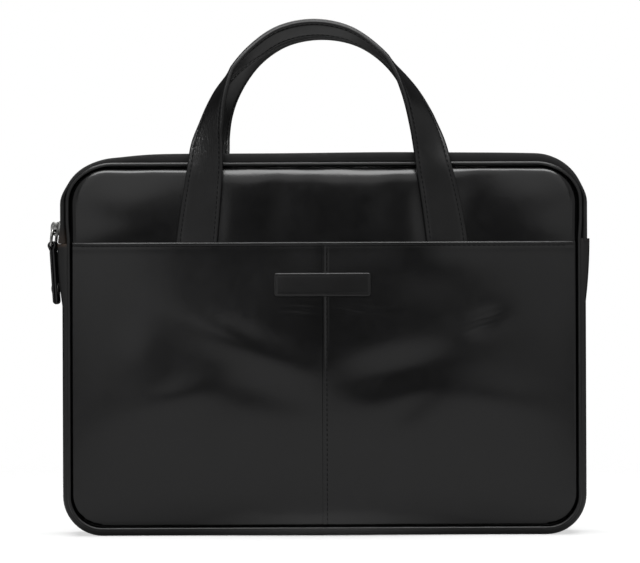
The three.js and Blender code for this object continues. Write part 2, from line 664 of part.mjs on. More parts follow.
const zipEnd = new THREE.Group();
zipEnd.position.set(-(BODY_WIDTH / 2 + ZIP_FLARE), 0, SLIDER_HEIGHT);
bag.add(zipEnd);
addPiece(zipEnd, "zip_slider", sliderGeometry(), CHROME).rotation.z = Math.PI;

const pull = new THREE.Group();
pull.position.x = -(GAP + SLIDER_PLATE + BRIDGE_RISE - BRIDGE_BAR - GAP - LINK_WIRE);
zipEnd.add(pull);
addPiece(pull, "pull_link", linkGeometry(), CHROME);
const hanging = new THREE.Group();
hanging.position.set(-LINK_OUT, 0, -LINK_DROP);
hanging.rotation.y = -TAB_LEAN;
pull.add(hanging);
addPiece(hanging, "pull_tab", tabGeometry(), BLACK_LEATHER);
addPiece(hanging, "pull_rivet", rivetGeometry(), CHROME).position.z = -RIVET_DROP;

export default bag;
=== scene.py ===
"""A slim black leather laptop bag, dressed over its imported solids.

Metres, in the solids' own frame: +X to the right seen from the front, +Y to the back, +Z up,
with the origin in the middle of the flat bottom that the bag stands on.
"""
import math
import bmesh
import bpy
import numpy as np
from functools import partialmethod
from mathutils import Euler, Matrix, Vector


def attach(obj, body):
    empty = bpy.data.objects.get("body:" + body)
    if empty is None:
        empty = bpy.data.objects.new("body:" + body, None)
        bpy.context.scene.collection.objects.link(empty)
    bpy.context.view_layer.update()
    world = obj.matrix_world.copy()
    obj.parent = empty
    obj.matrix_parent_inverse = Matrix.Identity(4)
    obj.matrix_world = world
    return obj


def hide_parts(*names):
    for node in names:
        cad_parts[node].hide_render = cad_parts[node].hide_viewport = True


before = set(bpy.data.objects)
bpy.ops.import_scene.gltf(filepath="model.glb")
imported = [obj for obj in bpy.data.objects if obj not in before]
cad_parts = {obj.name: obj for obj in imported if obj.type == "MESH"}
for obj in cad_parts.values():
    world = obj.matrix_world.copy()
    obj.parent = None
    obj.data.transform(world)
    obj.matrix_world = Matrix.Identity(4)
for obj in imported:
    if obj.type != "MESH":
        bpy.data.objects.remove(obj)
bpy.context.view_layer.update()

# Camera: level with the middle of the bag and square to its front, as a catalogue picture is taken.
# PIXEL is the width of one picture element on the front of the bag, and the picture leans a little.
PICTURE_WIDTH = 640
BAG_MIDDLE = 324.05
PIXEL = 0.0007225
FRONT_DEPTH = 0.027
CAMERA_DISTANCE = 2.2
CAMERA_HEIGHT = 0.184
CAMERA_ROLL = math.radians(0.22)

scene = bpy.context.scene


def add(name, data):
    """A new object in the scene."""
    made = bpy.data.objects.new(name, data)
    scene.collection.objects.link(made)
    return made


camera = add("camera", bpy.data.cameras.new("camera"))
camera.data.sensor_width = 36
camera.data.lens = camera.data.sensor_width * CAMERA_DISTANCE / (PICTURE_WIDTH * PIXEL)
camera_side = (PICTURE_WIDTH / 2 - BAG_MIDDLE) * PIXEL
camera.location = (camera_side, -FRONT_DEPTH - CAMERA_DISTANCE, CAMERA_HEIGHT)
camera.rotation_euler = (math.pi / 2, CAMERA_ROLL, 0)
scene.camera = camera
scene.view_settings.view_transform = "Standard"

# Studio: a matt white floor that fades into a white surround, a soft box overhead, one on each side
# and two in front, and an oval reflector on each side of the camera. Level with the bag the room is
# dim, so that the leather keeps its black.
FLOOR_RADIUS = 1.38
FLOOR_MIDDLE = (0, -0.42, 0)
FLOOR_FADE = 0.73
FLOOR_NEAR = 0.12
FLOOR_CLEAR = 0.62
FLOOR_SIDES = 96
FLOOR_WHITE = (0.88, 0.88, 0.88, 1)
ROOM_LIGHT = 0.03
SURROUND = 1.0
SHARP_ANGLE = math.radians(42)


class Finish:
    """The nodes of one finish. node() adds a shader node: its settings first, then its sockets."""

    def __init__(self, tree):
        self.tree = tree
        tree.nodes.clear()

    def node(self, kind, settings=None, sockets=None, output=0):
        made = self.tree.nodes.new("ShaderNode" + kind)
        for name, value in (settings or {}).items():
            setattr(made, name, value)
        for name, value in (sockets or {}).items():
            if isinstance(value, Tone):
                self.tree.links.new(value.socket, made.inputs[name])
            else:
                made.inputs[name].default_value = value
        return Tone(self, made.outputs[output]) if made.outputs else None

    def colour(self, share, low, high):
        return self.node("Mix", {"data_type": "RGBA"}, {0: share, 6: low, 7: high}, 2)

    def ramp(self, value, low, high):
        span = {"Value": value, "From Min": low, "From Max": high}
        return self.node("MapRange", {"interpolation_type": "SMOOTHSTEP"}, span)


class Tone:
    """What leaves a node's socket. Sums written with it add Math nodes to its finish."""

    def __init__(self, finish, socket):
        self.finish, self.socket = finish, socket

    def sum(self, operation, other=0, turned=False):
        sockets = {0: other, 1: self} if turned else {0: self, 1: other}
        return self.finish.node("Math", {"operation": operation}, sockets)

    __add__ = __radd__ = partialmethod(sum, "ADD")
    __mul__ = __rmul__ = partialmethod(sum, "MULTIPLY")
    __sub__ = partialmethod(sum, "SUBTRACT")
    __rsub__ = partialmethod(sum, "SUBTRACT", turned=True)
    __pow__ = partialmethod(sum, "POWER")
    __abs__ = partialmethod(sum, "ABSOLUTE")


def new_finish(name):
    """A material, the nodes of its finish, and the place of each point on the piece."""
    material = bpy.data.materials.new(name)
    material.use_nodes = True
    finish = Finish(material.node_tree)
    return material, finish, finish.node("TexCoord", output="Object")


def full_turn(sides):
    return np.linspace(0, 2 * math.pi, sides, endpoint=False)


def quads(grid, closed_rows=False, closed_columns=False):
    """Faces between the neighbours in a grid of point numbers."""
    if closed_rows:
        grid = np.concatenate([grid, grid[:1]])
    if closed_columns:
        grid = np.concatenate([grid, grid[:, :1]], 1)
    corners = [grid[:-1, :-1], grid[:-1, 1:], grid[1:, 1:], grid[1:, :-1]]
    return np.stack(corners, -1).reshape(-1, 4).tolist()


def mesh_object(name, points, faces, material):
    """A mesh with its faces turned out and smooth, apart from its sharp edges."""
    mesh = bpy.data.meshes.new(name)
    mesh.from_pydata(np.reshape(points, (-1, 3)).tolist(), [], faces)
    mesh.materials.append(material)
    form = bmesh.new()
    form.from_mesh(mesh)
    bmesh.ops.recalc_face_normals(form, faces=form.faces)
    form.to_mesh(mesh)
    form.free()
    mesh.polygons.foreach_set("use_smooth", np.ones(len(mesh.polygons), bool))
    mesh.set_sharp_from_angle(angle=SHARP_ANGLE)
    return add(name, mesh)


floor_white, finish, place = new_finish("floor_white")
from_bag = finish.node("VectorMath", {"operation": "LENGTH"}, {0: place}, "Value")
ends = {0: place, 1: FLOOR_MIDDLE}
from_middle = finish.node("VectorMath", {"operation": "DISTANCE"}, ends, "Value")
matt = finish.node("BsdfDiffuse", sockets={"Color": FLOOR_WHITE})
clear = finish.node("BsdfTransparent")
near_fade = finish.ramp(from_bag, 0, FLOOR_NEAR)
far_fade = finish.ramp(from_middle, FLOOR_FADE, FLOOR_RADIUS)
fade = near_fade * FLOOR_CLEAR + far_fade * (1 - FLOOR_CLEAR)
faded = finish.node("MixShader", sockets={0: fade, 1: matt, 2: clear})
finish.node("OutputMaterial", sockets={"Surface": faded})

turn = full_turn(FLOOR_SIDES)
floor_edge = np.stack([np.cos(turn), np.sin(turn), 0 * turn], -1)
floor_edge = FLOOR_RADIUS * floor_edge + FLOOR_MIDDLE
floor = mesh_object("floor", floor_edge, [list(range(FLOOR_SIDES))], floor_white)

room = bpy.data.worlds.new("room")
room.use_nodes = True
scene.world = room
finish = Finish(room.node_tree)
seen = finish.node("LightPath", output="Is Camera Ray")
strength = ROOM_LIGHT + seen * (SURROUND - ROOM_LIGHT)
backdrop = finish.node("Background", None, {"Color": (1, 1, 1, 1), "Strength": strength})
finish.node("OutputWorld", sockets={"Surface": backdrop})


def softbox(name, place, aim, width, height, power, shape="RECTANGLE"):
    light = bpy.data.lights.new(name, "AREA")
    light.shape, light.size, light.size_y, light.energy = shape, width, height, power
    lamp = add(name, light)
    lamp.location = place
    lamp.rotation_euler = (Vector(aim) - Vector(place)).to_track_quat("-Z", "Y").to_euler()


softbox("overhead_box", (0, 0.1, 1.6), (0, 0, 0), 1.7, 1.0, 34)
softbox("front_box", (0, -1.25, 1.35), (0, 0, 0.2), 1.5, 0.5, 21)
softbox("fill_box", (0, -1.45, 0.81), (0, 0, 0.2), 1.6, 0.55, 2.7)
softbox("left_box", (-1.5, -0.6, 0.7), (0, 0, 0.17), 2.2, 1.6, 4)
softbox("right_box", (1.5, -0.6, 0.7), (0, 0, 0.17), 2.2, 1.6, 4)
softbox("left_oval", (-0.85, -2.0, 0.33), (0, 0, 0.2), 1.35, 0.56, 1.35, "ELLIPSE")
softbox("right_oval", (0.85, -2.0, 0.33), (0, 0, 0.2), 1.35, 0.56, 1.05, "ELLIPSE")

# Gusset: one strip of thick leather that makes the bottom and the lower sides, sewn to both panels.
# Its ends lap the zip and stand out a little there, with the tan core of the leather at the cut.
BODY_WIDTH = 0.380
BODY_HEIGHT = 0.278
TOP_CORNER = 0.037
TOP_CORNER_Z = BODY_HEIGHT - TOP_CORNER
BOTTOM_CORNER = 0.029
# Corner radius, its middle's height, and the angle out of the bag where the half starts
UPPER_HALF = (TOP_CORNER, TOP_CORNER_Z, math.pi)
LOWER_HALF = (BOTTOM_CORNER, BOTTOM_CORNER, 0)
GUSSET_END = 0.212
GUSSET_FLAT = 0.017
GUSSET_ROUND = 0.0049
GUSSET_DROP = 0.0048
GUSSET_LEATHER = 0.0024
GUSSET_FLARE_LEFT = 0.0034
GUSSET_FLARE_RIGHT = 0.0028
GUSSET_FLARE_LENGTH = 0.045
GUSSET_FLARE_POWER = 1.6
GUSSET_LAP_RIGHT = 0.0026
GUSSET_STEP = 0.003
GAP = 0.0003
CORE_SEEN_LEFT = 0.8
CORE_SEEN_RIGHT = 0.15
LEATHER_BLACK = (0.0010, 0.0010, 0.0011, 1)
LEATHER_BLOOM = (0.0026, 0.0026, 0.0029, 1)
LEATHER_CORE = (0.05, 0.03, 0.018, 1)
BLOOM_SIZE = 0.06
MOTTLE_SIZE = 0.007
CREASE_SIZE = 0.0085
PORE_SIZE = 0.0011
PORE_DEPTH = 0.000007
MOTTLE_DEPTH = 0.000012
CREASE_DEPTH = 0.00006
TWIST_SIZE = 0.0022
TWIST_DEPTH = 0.00016


def noise(place, size, detail):
    scale = {"Vector": place, "Scale": 1 / size, "Detail": detail}
    return place.finish.node("TexNoise", None, scale, "Fac")


def surface(finish, skin, relief=None):
    """Ends a finish with its shader, over a relief in metres if it has one."""
    if relief:
        skin["Normal"] = finish.node("Bump", None, {"Height": relief, "Distance": 1.0})
    shader = finish.node("BsdfPrincipled", None, skin)
    finish.node("OutputMaterial", sockets={"Surface": shader})


def leather(name, roughness=0.37, crease=1.0, shine=0.5, core=None, twisted=None):
    """Smooth waxed leather: cloudy bloom, fine pores and thin creases that come and go."""
    material, finish, place = new_finish(name)
    cloud = noise(place, BLOOM_SIZE, 3)
    mottle = noise(place, MOTTLE_SIZE, 3)
    wander = noise(place, CREASE_SIZE, 4)
    thin_lines = (1 - abs(wander * 2 - 1)) ** 14
    patches = finish.ramp(cloud, 0.42, 0.66)
    cells = {"Vector": place, "Scale": 1 / PORE_SIZE}
    pores = finish.node("TexVoronoi", None, cells, "Distance")
    bloom = finish.ramp(cloud * 0.7 + mottle * 0.3, 0.35, 0.75)
    colour = finish.colour(bloom, LEATHER_BLACK, LEATHER_BLOOM)
    if core:
        raw = finish.node("Attribute", {"attribute_name": core}, None, "Fac")
        colour = finish.colour(raw, colour, LEATHER_CORE)
    gloss = roughness + (cloud - 0.5) * 0.10 + (mottle - 0.5) * 0.04
    creases = thin_lines * patches * (CREASE_DEPTH * crease)
    relief = pores * PORE_DEPTH - creases + mottle * MOTTLE_DEPTH
    if twisted:
        strained = finish.node("Attribute", {"attribute_name": twisted}, None, "Fac")
        for lean in (0.55, -0.45):
            leaning = {"Vector": place, "Rotation": (0, lean, 0), "Scale": (1, 1, 0.22)}
            drawn = noise(finish.node("Mapping", None, leaning), TWIST_SIZE, 2)
            relief = relief - (1 - abs(drawn * 2 - 1)) ** 8 * strained * TWIST_DEPTH
    skin = {"Base Color": colour, "Roughness": gloss, "Specular IOR Level": shine}
    surface(finish, skin, relief)
    return material


def smooth(share):
    share = np.clip(share, 0, 1)
    return share * share * (3 - 2 * share)


def line(start, end, angle, step):
    count = max(round(math.dist(start, end) / step), 1)
    share = np.linspace(0, 1, count, endpoint=False)[:, None]
    places = np.array(start) * (1 - share) + np.array(end) * share
    return np.column_stack([places, np.full(count, angle)])


def bend(centre_x, centre_z, radius, first, last, step):
    count = max(round(abs(last - first) * radius / step), 12)
    angle = np.linspace(first, last, count, endpoint=False)
    x, z = centre_x + radius * np.cos(angle), centre_z + radius * np.sin(angle)
    return np.column_stack([x, z, angle])


def rim(half, inset, end, step):
    """Stations along half of the rim: x, z and the angle that points out of the bag."""
    corner, corner_z, first = half
    side, corner_x = math.cos(first) * (BODY_WIDTH / 2 - np.array([inset, corner]))
    radius = corner - inset
    middle, last = first - math.pi / 2, first - math.pi
    level = corner_z + radius * math.sin(middle)
    return np.concatenate([
        line((side, end), (side, corner_z), first, step),
        bend(corner_x, corner_z, radius, first, middle, step),
        line((corner_x, level), (-corner_x, level), middle, step),
        bend(-corner_x, corner_z, radius, middle, last, step),
        line((-side, corner_z), (-side, end), last, step),
        [[-side, end, last]],
    ])


def along_rim(stations, across, out):
    """Points at a depth across the bag and a distance out of the rim, at each station."""
    x, z, angle = stations.T[:, :, None]
    out = out + 0 * x
    return np.stack([x + out * np.cos(angle), across + 0 * x, z + out * np.sin(angle)], -1)


def bars(name, points, material):
    """A row of bars with flat ends, each through rings of points."""
    faces = []
    for grid in np.arange(points[..., 0].size).reshape(points.shape[:-1]):
        faces += quads(grid, closed_columns=True) + [grid[0].tolist(), grid[-1].tolist()]
    return mesh_object(name, points, faces, material)


def loft(name, rings, material, closed=False):
    """One bar through rings of points, which closes on itself or has flat ends."""
    if not closed:
        return bars(name, np.array([rings]), material)
    rings = np.array(rings)
    grid = np.arange(rings[..., 0].size).reshape(rings.shape[:2])
    return mesh_object(name, rings, quads(grid, True, True), material)


def fit(piece, slot, *nodes, body="bag"):
    """Fixes a piece to its body, and hides the solids it stands for, if any."""
    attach(piece, body)
    if nodes:
        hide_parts(*nodes)


def mark(piece, name, values):
    """Keeps a number for each point of a piece, for its finish."""
    attribute = piece.data.attributes.new(name, "FLOAT", "POINT")
    attribute.data.foreach_set("value", np.ravel(values).astype(np.float32))


def mirrored(half, sign=1):
    """A row of numbers and its mirror image."""
    return np.append(half, sign * half[::-1])


shoulder = np.linspace(math.pi / 2, 0, 9)
flat = np.linspace(GUSSET_FLAT, -GUSSET_FLAT, 12)[1:6]
outer_across = mirrored(np.append(GUSSET_FLAT + GUSSET_ROUND * np.sin(shoulder), flat), -1)
outer_drop = mirrored(np.append(GUSSET_DROP * (1 - np.cos(shoulder)), 0 * flat))
inner_share = 1 - GUSSET_LEATHER / GUSSET_DROP
inner_across = np.clip(outer_across, -GUSSET_FLAT, GUSSET_FLAT)
inner_across = inner_across + (outer_across - inner_across) * inner_share
inner_drop = GUSSET_LEATHER + outer_drop * inner_share
gusset_across = np.append(outer_across, inner_across[::-1])
gusset_drop = np.append(outer_drop, inner_drop[::-1])
gusset_share = mirrored(1 - np.clip(outer_drop / GUSSET_DROP, 0, 1)) ** GUSSET_FLARE_POWER
stations = rim(LOWER_HALF, 0, GUSSET_END, GUSSET_STEP)
lap = smooth(stations[:, 1] / GUSSET_END) * (stations[:, 0] > 0)
flare = np.where(stations[:, 0] < 0, GUSSET_FLARE_LEFT, GUSSET_FLARE_RIGHT)[:, None]
flare = flare * (1 - np.clip((GUSSET_END - stations[:, 1:2]) / GUSSET_FLARE_LENGTH, 0, 1) ** 2)
rings = along_rim(stations, gusset_across, gusset_share * flare - gusset_drop)
rings[:, :, 2] += GUSSET_LAP_RIGHT * lap[:, None]
gusset = loft("gusset_strip", rings, leather("gusset_leather", core="cut_end"))
at_end = np.zeros(rings.shape[:2])
at_end[0] = CORE_SEEN_RIGHT
at_end[-1] = CORE_SEEN_LEFT
mark(gusset, "cut_end", at_end)
fit(gusset, "leather", "gusset")

# Zip: a woven tape that runs over the top, tucked under the gusset at both ends, and a row of black
# moulded teeth clamped on it, which close alternately from the two sides.
ZIP_FLARE = 0.0015
ZIP_FLARE_TOP = 0.257
TAPE_HALF_WIDTH = 0.009
TAPE_DROP = 0.0034
TAPE_THICKNESS = 0.0008
TAPE_TUCK = 0.008
TEETH_END = 0.214
TOOTH_PITCH = 0.00145
TAPE_BLACK = (0.011, 0.011, 0.012, 1)
TAPE_GREY = (0.026, 0.026, 0.028, 1)
TEETH_BLACK = (0.012, 0.012, 0.013, 1)
WEAVE_SIZE = 0.0011
WEAVE_DEPTH = 0.0001
FUZZ_SIZE = 0.0006
FUZZ_DEPTH = 0.00004
RUB_SIZE = 0.004
# Where the zip sags along the top, and a place where it stands up a little
ZIP_SAGS = np.array([
    # x, reach, depth
    (-0.164, 0.028, 0.0034),
    (0.045, 0.055, -0.0006),
    (0.168, 0.028, 0.0007),
])
# reach: from the tooth's tip past the middle to its root; long: along the zip; tall: off the tape
TOOTH_FORM = np.array([
    # reach, long, tall
    (-0.0009, 0.20, 0.55),
    (-0.0006, 0.46, 0.92),
    (0.0006, 0.50, 1.00),
    (0.0022, 0.44, 0.90),
    (0.0030, 0.30, 0.60),
])
TOOTH_SIDES = 6


def on_top(stations):
    """1 along the top, 0 down the sides."""
    return smooth((stations[:, 1:2] - TOP_CORNER_Z) / TOP_CORNER)


def down_side(stations):
    """1 down the sides, 0 where the zip no longer flares."""
    return 1 - smooth((stations[:, 1:2] - TOP_CORNER_Z) / (ZIP_FLARE_TOP - TOP_CORNER_Z))


def zip_bulge(stations):
    """How far the zip stands out at its ends, less its sags along the top."""
    middle, reach, depth = ZIP_SAGS.T
    sag = np.exp(-(((stations[:, :1] - middle) / reach) ** 2)) @ depth[:, None]
    return ZIP_FLARE * down_side(stations) - on_top(stations) * sag


def way_along(places):
    """How far along a line of places each of them is."""
    return np.append(0, np.cumsum(np.linalg.norm(np.diff(places, axis=0), axis=1)))


def at(wanted, way, rows):
    """Rows of numbers that lie along a way, read at the wanted distances."""
    return np.stack([np.interp(wanted, way, column) for column in rows.T], -1)


stations = rim(UPPER_HALF, 0, GUSSET_END - TAPE_TUCK, GUSSET_STEP)
tape_across = mirrored(np.linspace(-1, 1, 9)) * TAPE_HALF_WIDTH
tape_drop = np.repeat([TAPE_DROP, TAPE_DROP + TAPE_THICKNESS], 9)
rings = along_rim(stations, tape_across, zip_bulge(stations) - tape_drop)
tape_weave, finish, place = new_finish("tape_weave")
twill = {"Vector": place, "Scale": 1 / WEAVE_SIZE, "Distortion": 0.6, "Detail": 1}
weave = finish.node("TexWave", {"bands_direction": "DIAGONAL"}, twill, "Fac")
fuzz = noise(place, FUZZ_SIZE, 3)
colour = finish.colour(weave * 0.6 + fuzz * 0.4, TAPE_BLACK, TAPE_GREY)
relief = weave * WEAVE_DEPTH + fuzz * FUZZ_DEPTH
surface(finish, {"Base Color": colour, "Roughness": 0.85}, relief)
fit(loft("zip_tape_weave", rings, tape_weave), "zip_tape", "zip_tape")

stations = rim(UPPER_HALF, 0, TEETH_END, GUSSET_STEP)
way = way_along(stations[:, :2])
count = int(way[-1] / TOOTH_PITCH)
stations = at((np.arange(count) + 0.5) * way[-1] / count, way, stations)
turn = full_turn(TOOTH_SIDES) + math.pi / TOOTH_SIDES
reach, long, tall = TOOTH_FORM.T[:, None, :, None]
from_side = np.where(np.arange(len(stations)) % 2, 1, -1)[:, None, None]
tooth_half = (TAPE_DROP - GAP) / 2
out = zip_bulge(stations)[:, :, None] + tooth_half * (tall * np.sin(turn) - 1)
step = TOOTH_PITCH * long * np.cos(turn)
x, z, angle = stations.T[:, :, None, None]
tooth_x = x + out * np.cos(angle) + step * np.sin(angle)
tooth_z = z + out * np.sin(angle) - step * np.cos(angle)
teeth_points = np.stack([tooth_x, from_side * reach + 0 * tooth_x, tooth_z], -1)
teeth_black, finish, place = new_finish("teeth_black")
rub = noise(place, RUB_SIZE, 3)
colour = finish.colour(rub, TEETH_BLACK, TAPE_GREY)
surface(finish, {"Base Color": colour, "Roughness": 0.34 + rub * 0.2})
fit(bars("zip_teeth_row", teeth_points, teeth_black), "zip_teeth", "zip_chain")

# Zip strips: the leather on both sides of the zip, turned under along the teeth and sewn to the
# tape with a row of black thread that sits in a shallow groove.
STRIP_LEATHER = 0.0022
STRIP_FLARE = 0.0006
STRIP_END_FLARE = 0.0016
STRIP_END_REACH = 0.014
STRIP_STITCH = 0.0088
STRIP_STEP = 0.0028
STRIP_FINE_STEP = 0.0003
STRIP_WORN = 0.28
GROOVE_DEPTH = 0.00035
GROOVE_HALF_WIDTH = 0.0008
STITCH_PITCH = 0.0036
STITCH_SHARE = 0.74
STITCH_SLANT = 0.00016
THREAD_RADIUS = 0.00030
THREAD_SIDES = 6
THREAD_BLACK = (0.002, 0.002, 0.0022, 1)
THREAD_GREY = (0.005, 0.005, 0.0055, 1)
PLY_SIZE = 0.0009
PLY_DEPTH = 0.00012
# across: from the middle of the zip; drop: under the rim; share: of the bulge; hang: how much more
# the leather drops to the piping along the top
STRIP_SECTION = np.array([
    # across, drop, share, hang
    (0.0200, 0.0050, 0.0, 0.0030),
    (0.0207, 0.0038, 0.2, 0.0039),
    (0.0215, 0.0028, 0.5, 0.0044),
    (0.0220, 0.0020, 0.8, 0.0046),
    (0.0220, 0.0012, 1.0, 0.0),
    (0.0217, 0.0011, 1.0, 0.0),
    (0.0190, 0.0014, 1.0, 0.0),
    (0.0110, 0.0010, 1.0, 0.0),
    (0.0060, 0.0009, 1.0, 0.0),
])
# along: share of a stitch; lift: out of the leather in thread radii; size: of the thread
STITCH_FORM = np.array([
    # along, lift, size
    (0.00, -0.9, 0.6),
    (0.16, 0.00, 0.9),
    (0.50, 0.25, 1.0),
    (0.84, 0.00, 0.9),
    (1.00, -0.9, 0.6),
])


def through(rows, step):
    """A smooth curve through rows of numbers. Their first two say how far apart they are."""
    way = way_along(rows[:, :2])
    slopes = np.gradient(rows, way, axis=0)
    count = max(round(way[-1] / step), 2)
    wanted = np.linspace(0, way[-1], count + 1)
    index = np.clip(np.searchsorted(way, wanted, "right") - 1, 0, len(way) - 2)
    span = (way[index + 1] - way[index])[:, None]
    share = (wanted - way[index])[:, None] / span
    rise = smooth(share)
    leave = share * (1 - share) ** 2 * span
    arrive = share * share * (share - 1) * span
    straight = rows[index] * (1 - rise) + rows[index + 1] * rise
    return straight + slopes[index] * leave + slopes[index + 1] * arrive


def at_left_end(stations):
    """1 at the strip's left end, 0 a little above it and on the right."""
    left = stations[:, :1] < 0
    return left * (1 - smooth((stations[:, 1:2] - GUSSET_END) / STRIP_END_REACH))


def strip_bulge(stations):
    """How far the strips stand out: more than the zip down the sides, and most at the left end."""
    flare = STRIP_FLARE * down_side(stations) * np.where(stations[:, :1] < 0, 1, 0.5)
    return zip_bulge(stations) + flare + STRIP_END_FLARE * at_left_end(stations)


def groove(distance):
    """Depth of the groove that a row of stitches pulls into leather."""
    return GROOVE_DEPTH * np.exp(-((distance / GROOVE_HALF_WIDTH) ** 2))


def unit(vectors):
    return vectors / np.linalg.norm(vectors, axis=-1, keepdims=True)


def sewn(name, seams):
    """Rows of thread: each seam is a line of places on the leather and the directions off it."""
    points = []
    along, lift, size = STITCH_FORM.T[:, :, None]
    turn = full_turn(THREAD_SIDES)[:, None]
    for places, off in seams:
        way = way_along(places)
        count = int(way[-1] / STITCH_PITCH)
        starts = np.arange(count)[:, None] + (1 - STITCH_SHARE) / 2
        wanted = (starts + STITCH_SHARE * along[:, 0]) * way[-1] / count
        centre = at(wanted, way, places)
        up = unit(at(wanted, way, off))
        aside = unit(np.cross(up, unit(centre[:, -1:] - centre[:, :1])))
        centre = centre + up * lift * THREAD_RADIUS + aside * (along - 0.5) * STITCH_SLANT
        ring = np.cos(turn) * aside[:, :, None] + np.sin(turn) * up[:, :, None]
        points.append(centre[:, :, None] + THREAD_RADIUS * size[:, None] * ring)
    fit(bars(name, np.concatenate(points), sewing_thread), "zip_tape")


sewing_thread, finish, place = new_finish("sewing_thread")
twist = noise(place, PLY_SIZE, 2)
colour = finish.colour(twist, THREAD_BLACK, THREAD_GREY)
skin = {"Base Color": colour, "Roughness": 0.7, "Specular IOR Level": 0.05}
surface(finish, skin, twist * PLY_DEPTH)
zip_leather = leather("zip_strip_leather", shine=0.4, core="worn_end")
section = through(STRIP_SECTION, STRIP_FINE_STEP)
section[:, 3] = np.maximum(section[:, 3], 0)
section_run = unit(np.gradient(section[:, :2], axis=0))
inner = section.copy()
inner[:, :2] += STRIP_LEATHER * section_run[:, ::-1] * (1, -1)
turned = np.linspace(0, math.pi, 9)[1:-1, None]
edge_middle = (section[-1, :2] + inner[-1, :2]) / 2
edge = edge_middle - STRIP_LEATHER / 2 * np.column_stack([np.sin(turned), np.cos(turned)])
edge = np.column_stack([edge, 0 * turned + 1, 0 * turned])
section[:, 1] += groove(section[:, 0] - STRIP_STITCH)
strip_ring = np.concatenate([section, edge, inner[::-1]])
stations = rim(UPPER_HALF, 0, GUSSET_END + GAP, STRIP_STEP)
across, drop, share, hang = strip_ring.T
out = share * strip_bulge(stations) - drop - hang * on_top(stations)
worn = STRIP_WORN * at_left_end(stations)
angle = stations[:, 2]
out_of_rim = np.column_stack([np.cos(angle), 0 * angle, np.sin(angle)])
sewn_row = np.argmin(abs(section[:, 0] - STRIP_STITCH))
strip_seams = []
for side, toward in (("front", -1), ("back", 1)):
    rings = along_rim(stations, toward * across, out)
    strip = loft(f"zip_strip_{side}_leather", rings, zip_leather)
    mark(strip, "worn_end", np.repeat(worn, len(strip_ring)))
    fit(strip, "leather", f"zip_strip_{side}")
    strip_seams.append((rings[:, sewn_row], out_of_rim))
sewn("zip_strip_stitching", strip_seams)

# Piping: a cord wrapped in thin leather, caught in the seam round the front and the back panel.
# It is the raised line that frames both panels.
PIPING_INSET = 0.0052
PIPING_UPPER_INSET = 0.0042
PIPING_SHIFT_REACH = 0.018
PIPING_RADIUS = 0.00135
PIPING_DEPTH = 0.0230
PIPING_SLUMP = 0.0047
PIPING_SIDES = 16
PIPING_STEP = 0.0022
PIPING_SWELL = 0.03
PIPING_WAVES = 41

piping_leather = leather("piping_leather", roughness=0.33, crease=1.4)
upper = rim(UPPER_HALF, PIPING_UPPER_INSET, GUSSET_END, PIPING_STEP)
lower = rim(LOWER_HALF, PIPING_INSET, GUSSET_END, PIPING_STEP)
lowest = 1 - smooth((upper[:, 1] - GUSSET_END) / PIPING_SHIFT_REACH)
upper[:, 0] -= np.sign(upper[:, 0]) * lowest * (PIPING_INSET - PIPING_UPPER_INSET)
upper[:, 1:2] -= PIPING_SLUMP * on_top(upper)
stations = np.concatenate([upper[:-1], lower[:-1]])
turn = full_turn(PIPING_SIDES)
wave = np.sin(PIPING_WAVES * full_turn(len(stations)))[:, None]
radius = PIPING_RADIUS * (1 + PIPING_SWELL * (wave - 1))
for side, toward in (("front", -1), ("back", 1)):
    across = toward * PIPING_DEPTH + radius * np.sin(turn)
    rings = along_rim(stations, across, radius * np.cos(turn))
    cord = loft(f"{side}_piping_cord", rings, piping_leather, closed=True)
    fit(cord, "leather", f"{side}_piping")

# Panels: the padded front and back walls, leather over a thin foam, turned in at the border where
# they are sewn to the piping, and slightly crowned. The foam gives them their soft hollows.
PANEL_INSET = 0.0060
PANEL_HALF_WIDTH = BODY_WIDTH / 2 - PANEL_INSET
PANEL_BOTTOM = 0.0076
PANEL_TOP = 0.2671
PANEL_TOP_CORNER = 0.0272
PANEL_BOTTOM_CORNER = BOTTOM_CORNER - PANEL_INSET
PANEL_BORDER_DEPTH = 0.0205
PANEL_EDGE = 0.0008
PANEL_EDGE_REACH = 0.0022
PANEL_ROLL = 0.0022
PANEL_ROLL_REACH = 0.0105
# How unevenly the padding fills the roll: share of the reach, distance along the border
PANEL_WAVER = np.array([(0.14, 0.0130), (0.08, 0.0047)])
PANEL_EASE = 0.0010
PANEL_EASE_REACH = 0.026
SIDE_ROLL = 0.0011
SIDE_ROLL_REACH = 0.0034
SIDE_START = 0.055
SIDE_END = 0.125
PANEL_TUCK = 0.0022
PANEL_TUCK_DEPTH = 0.0055
PANEL_CROWN = 0.0012
PANEL_SETTLE = 0.0050
PANEL_PADDING = 0.006
PANEL_LEATHER = 0.0016
PANEL_FINE_STEP = 0.0003
PANEL_STEP = 0.003
STEP_GROWTH = 1.28
# Soft hollows and swells, half their length and width, turned from +X in degrees
FRONT_HOLLOWS = np.array([
    # x, z, length, width, turn, rise
    (-0.040, 0.236, 0.030, 0.016, 70, -0.0005),
    (0.030, 0.240, 0.030, 0.014, 80, 0.0005),
    (0.103, 0.232, 0.026, 0.016, 60, -0.0008),
    (-0.148, 0.224, 0.050, 0.030, 6, 0.0030),
    (-0.0765, 0.230, 0.028, 0.0050, 87, -0.0004),
    (0.0720, 0.226, 0.026, 0.0050, 97, -0.0004),
    (0.154, 0.226, 0.038, 0.028, -12, 0.0022),
])
BACK_HOLLOWS = np.array([
    # x, z, length, width, turn, rise
    (-0.060, 0.120, 0.070, 0.030, 25, 0.0006),
    (0.070, 0.090, 0.060, 0.028, -30, -0.0006),
    (0.010, 0.220, 0.060, 0.022, 10, -0.0005),
])


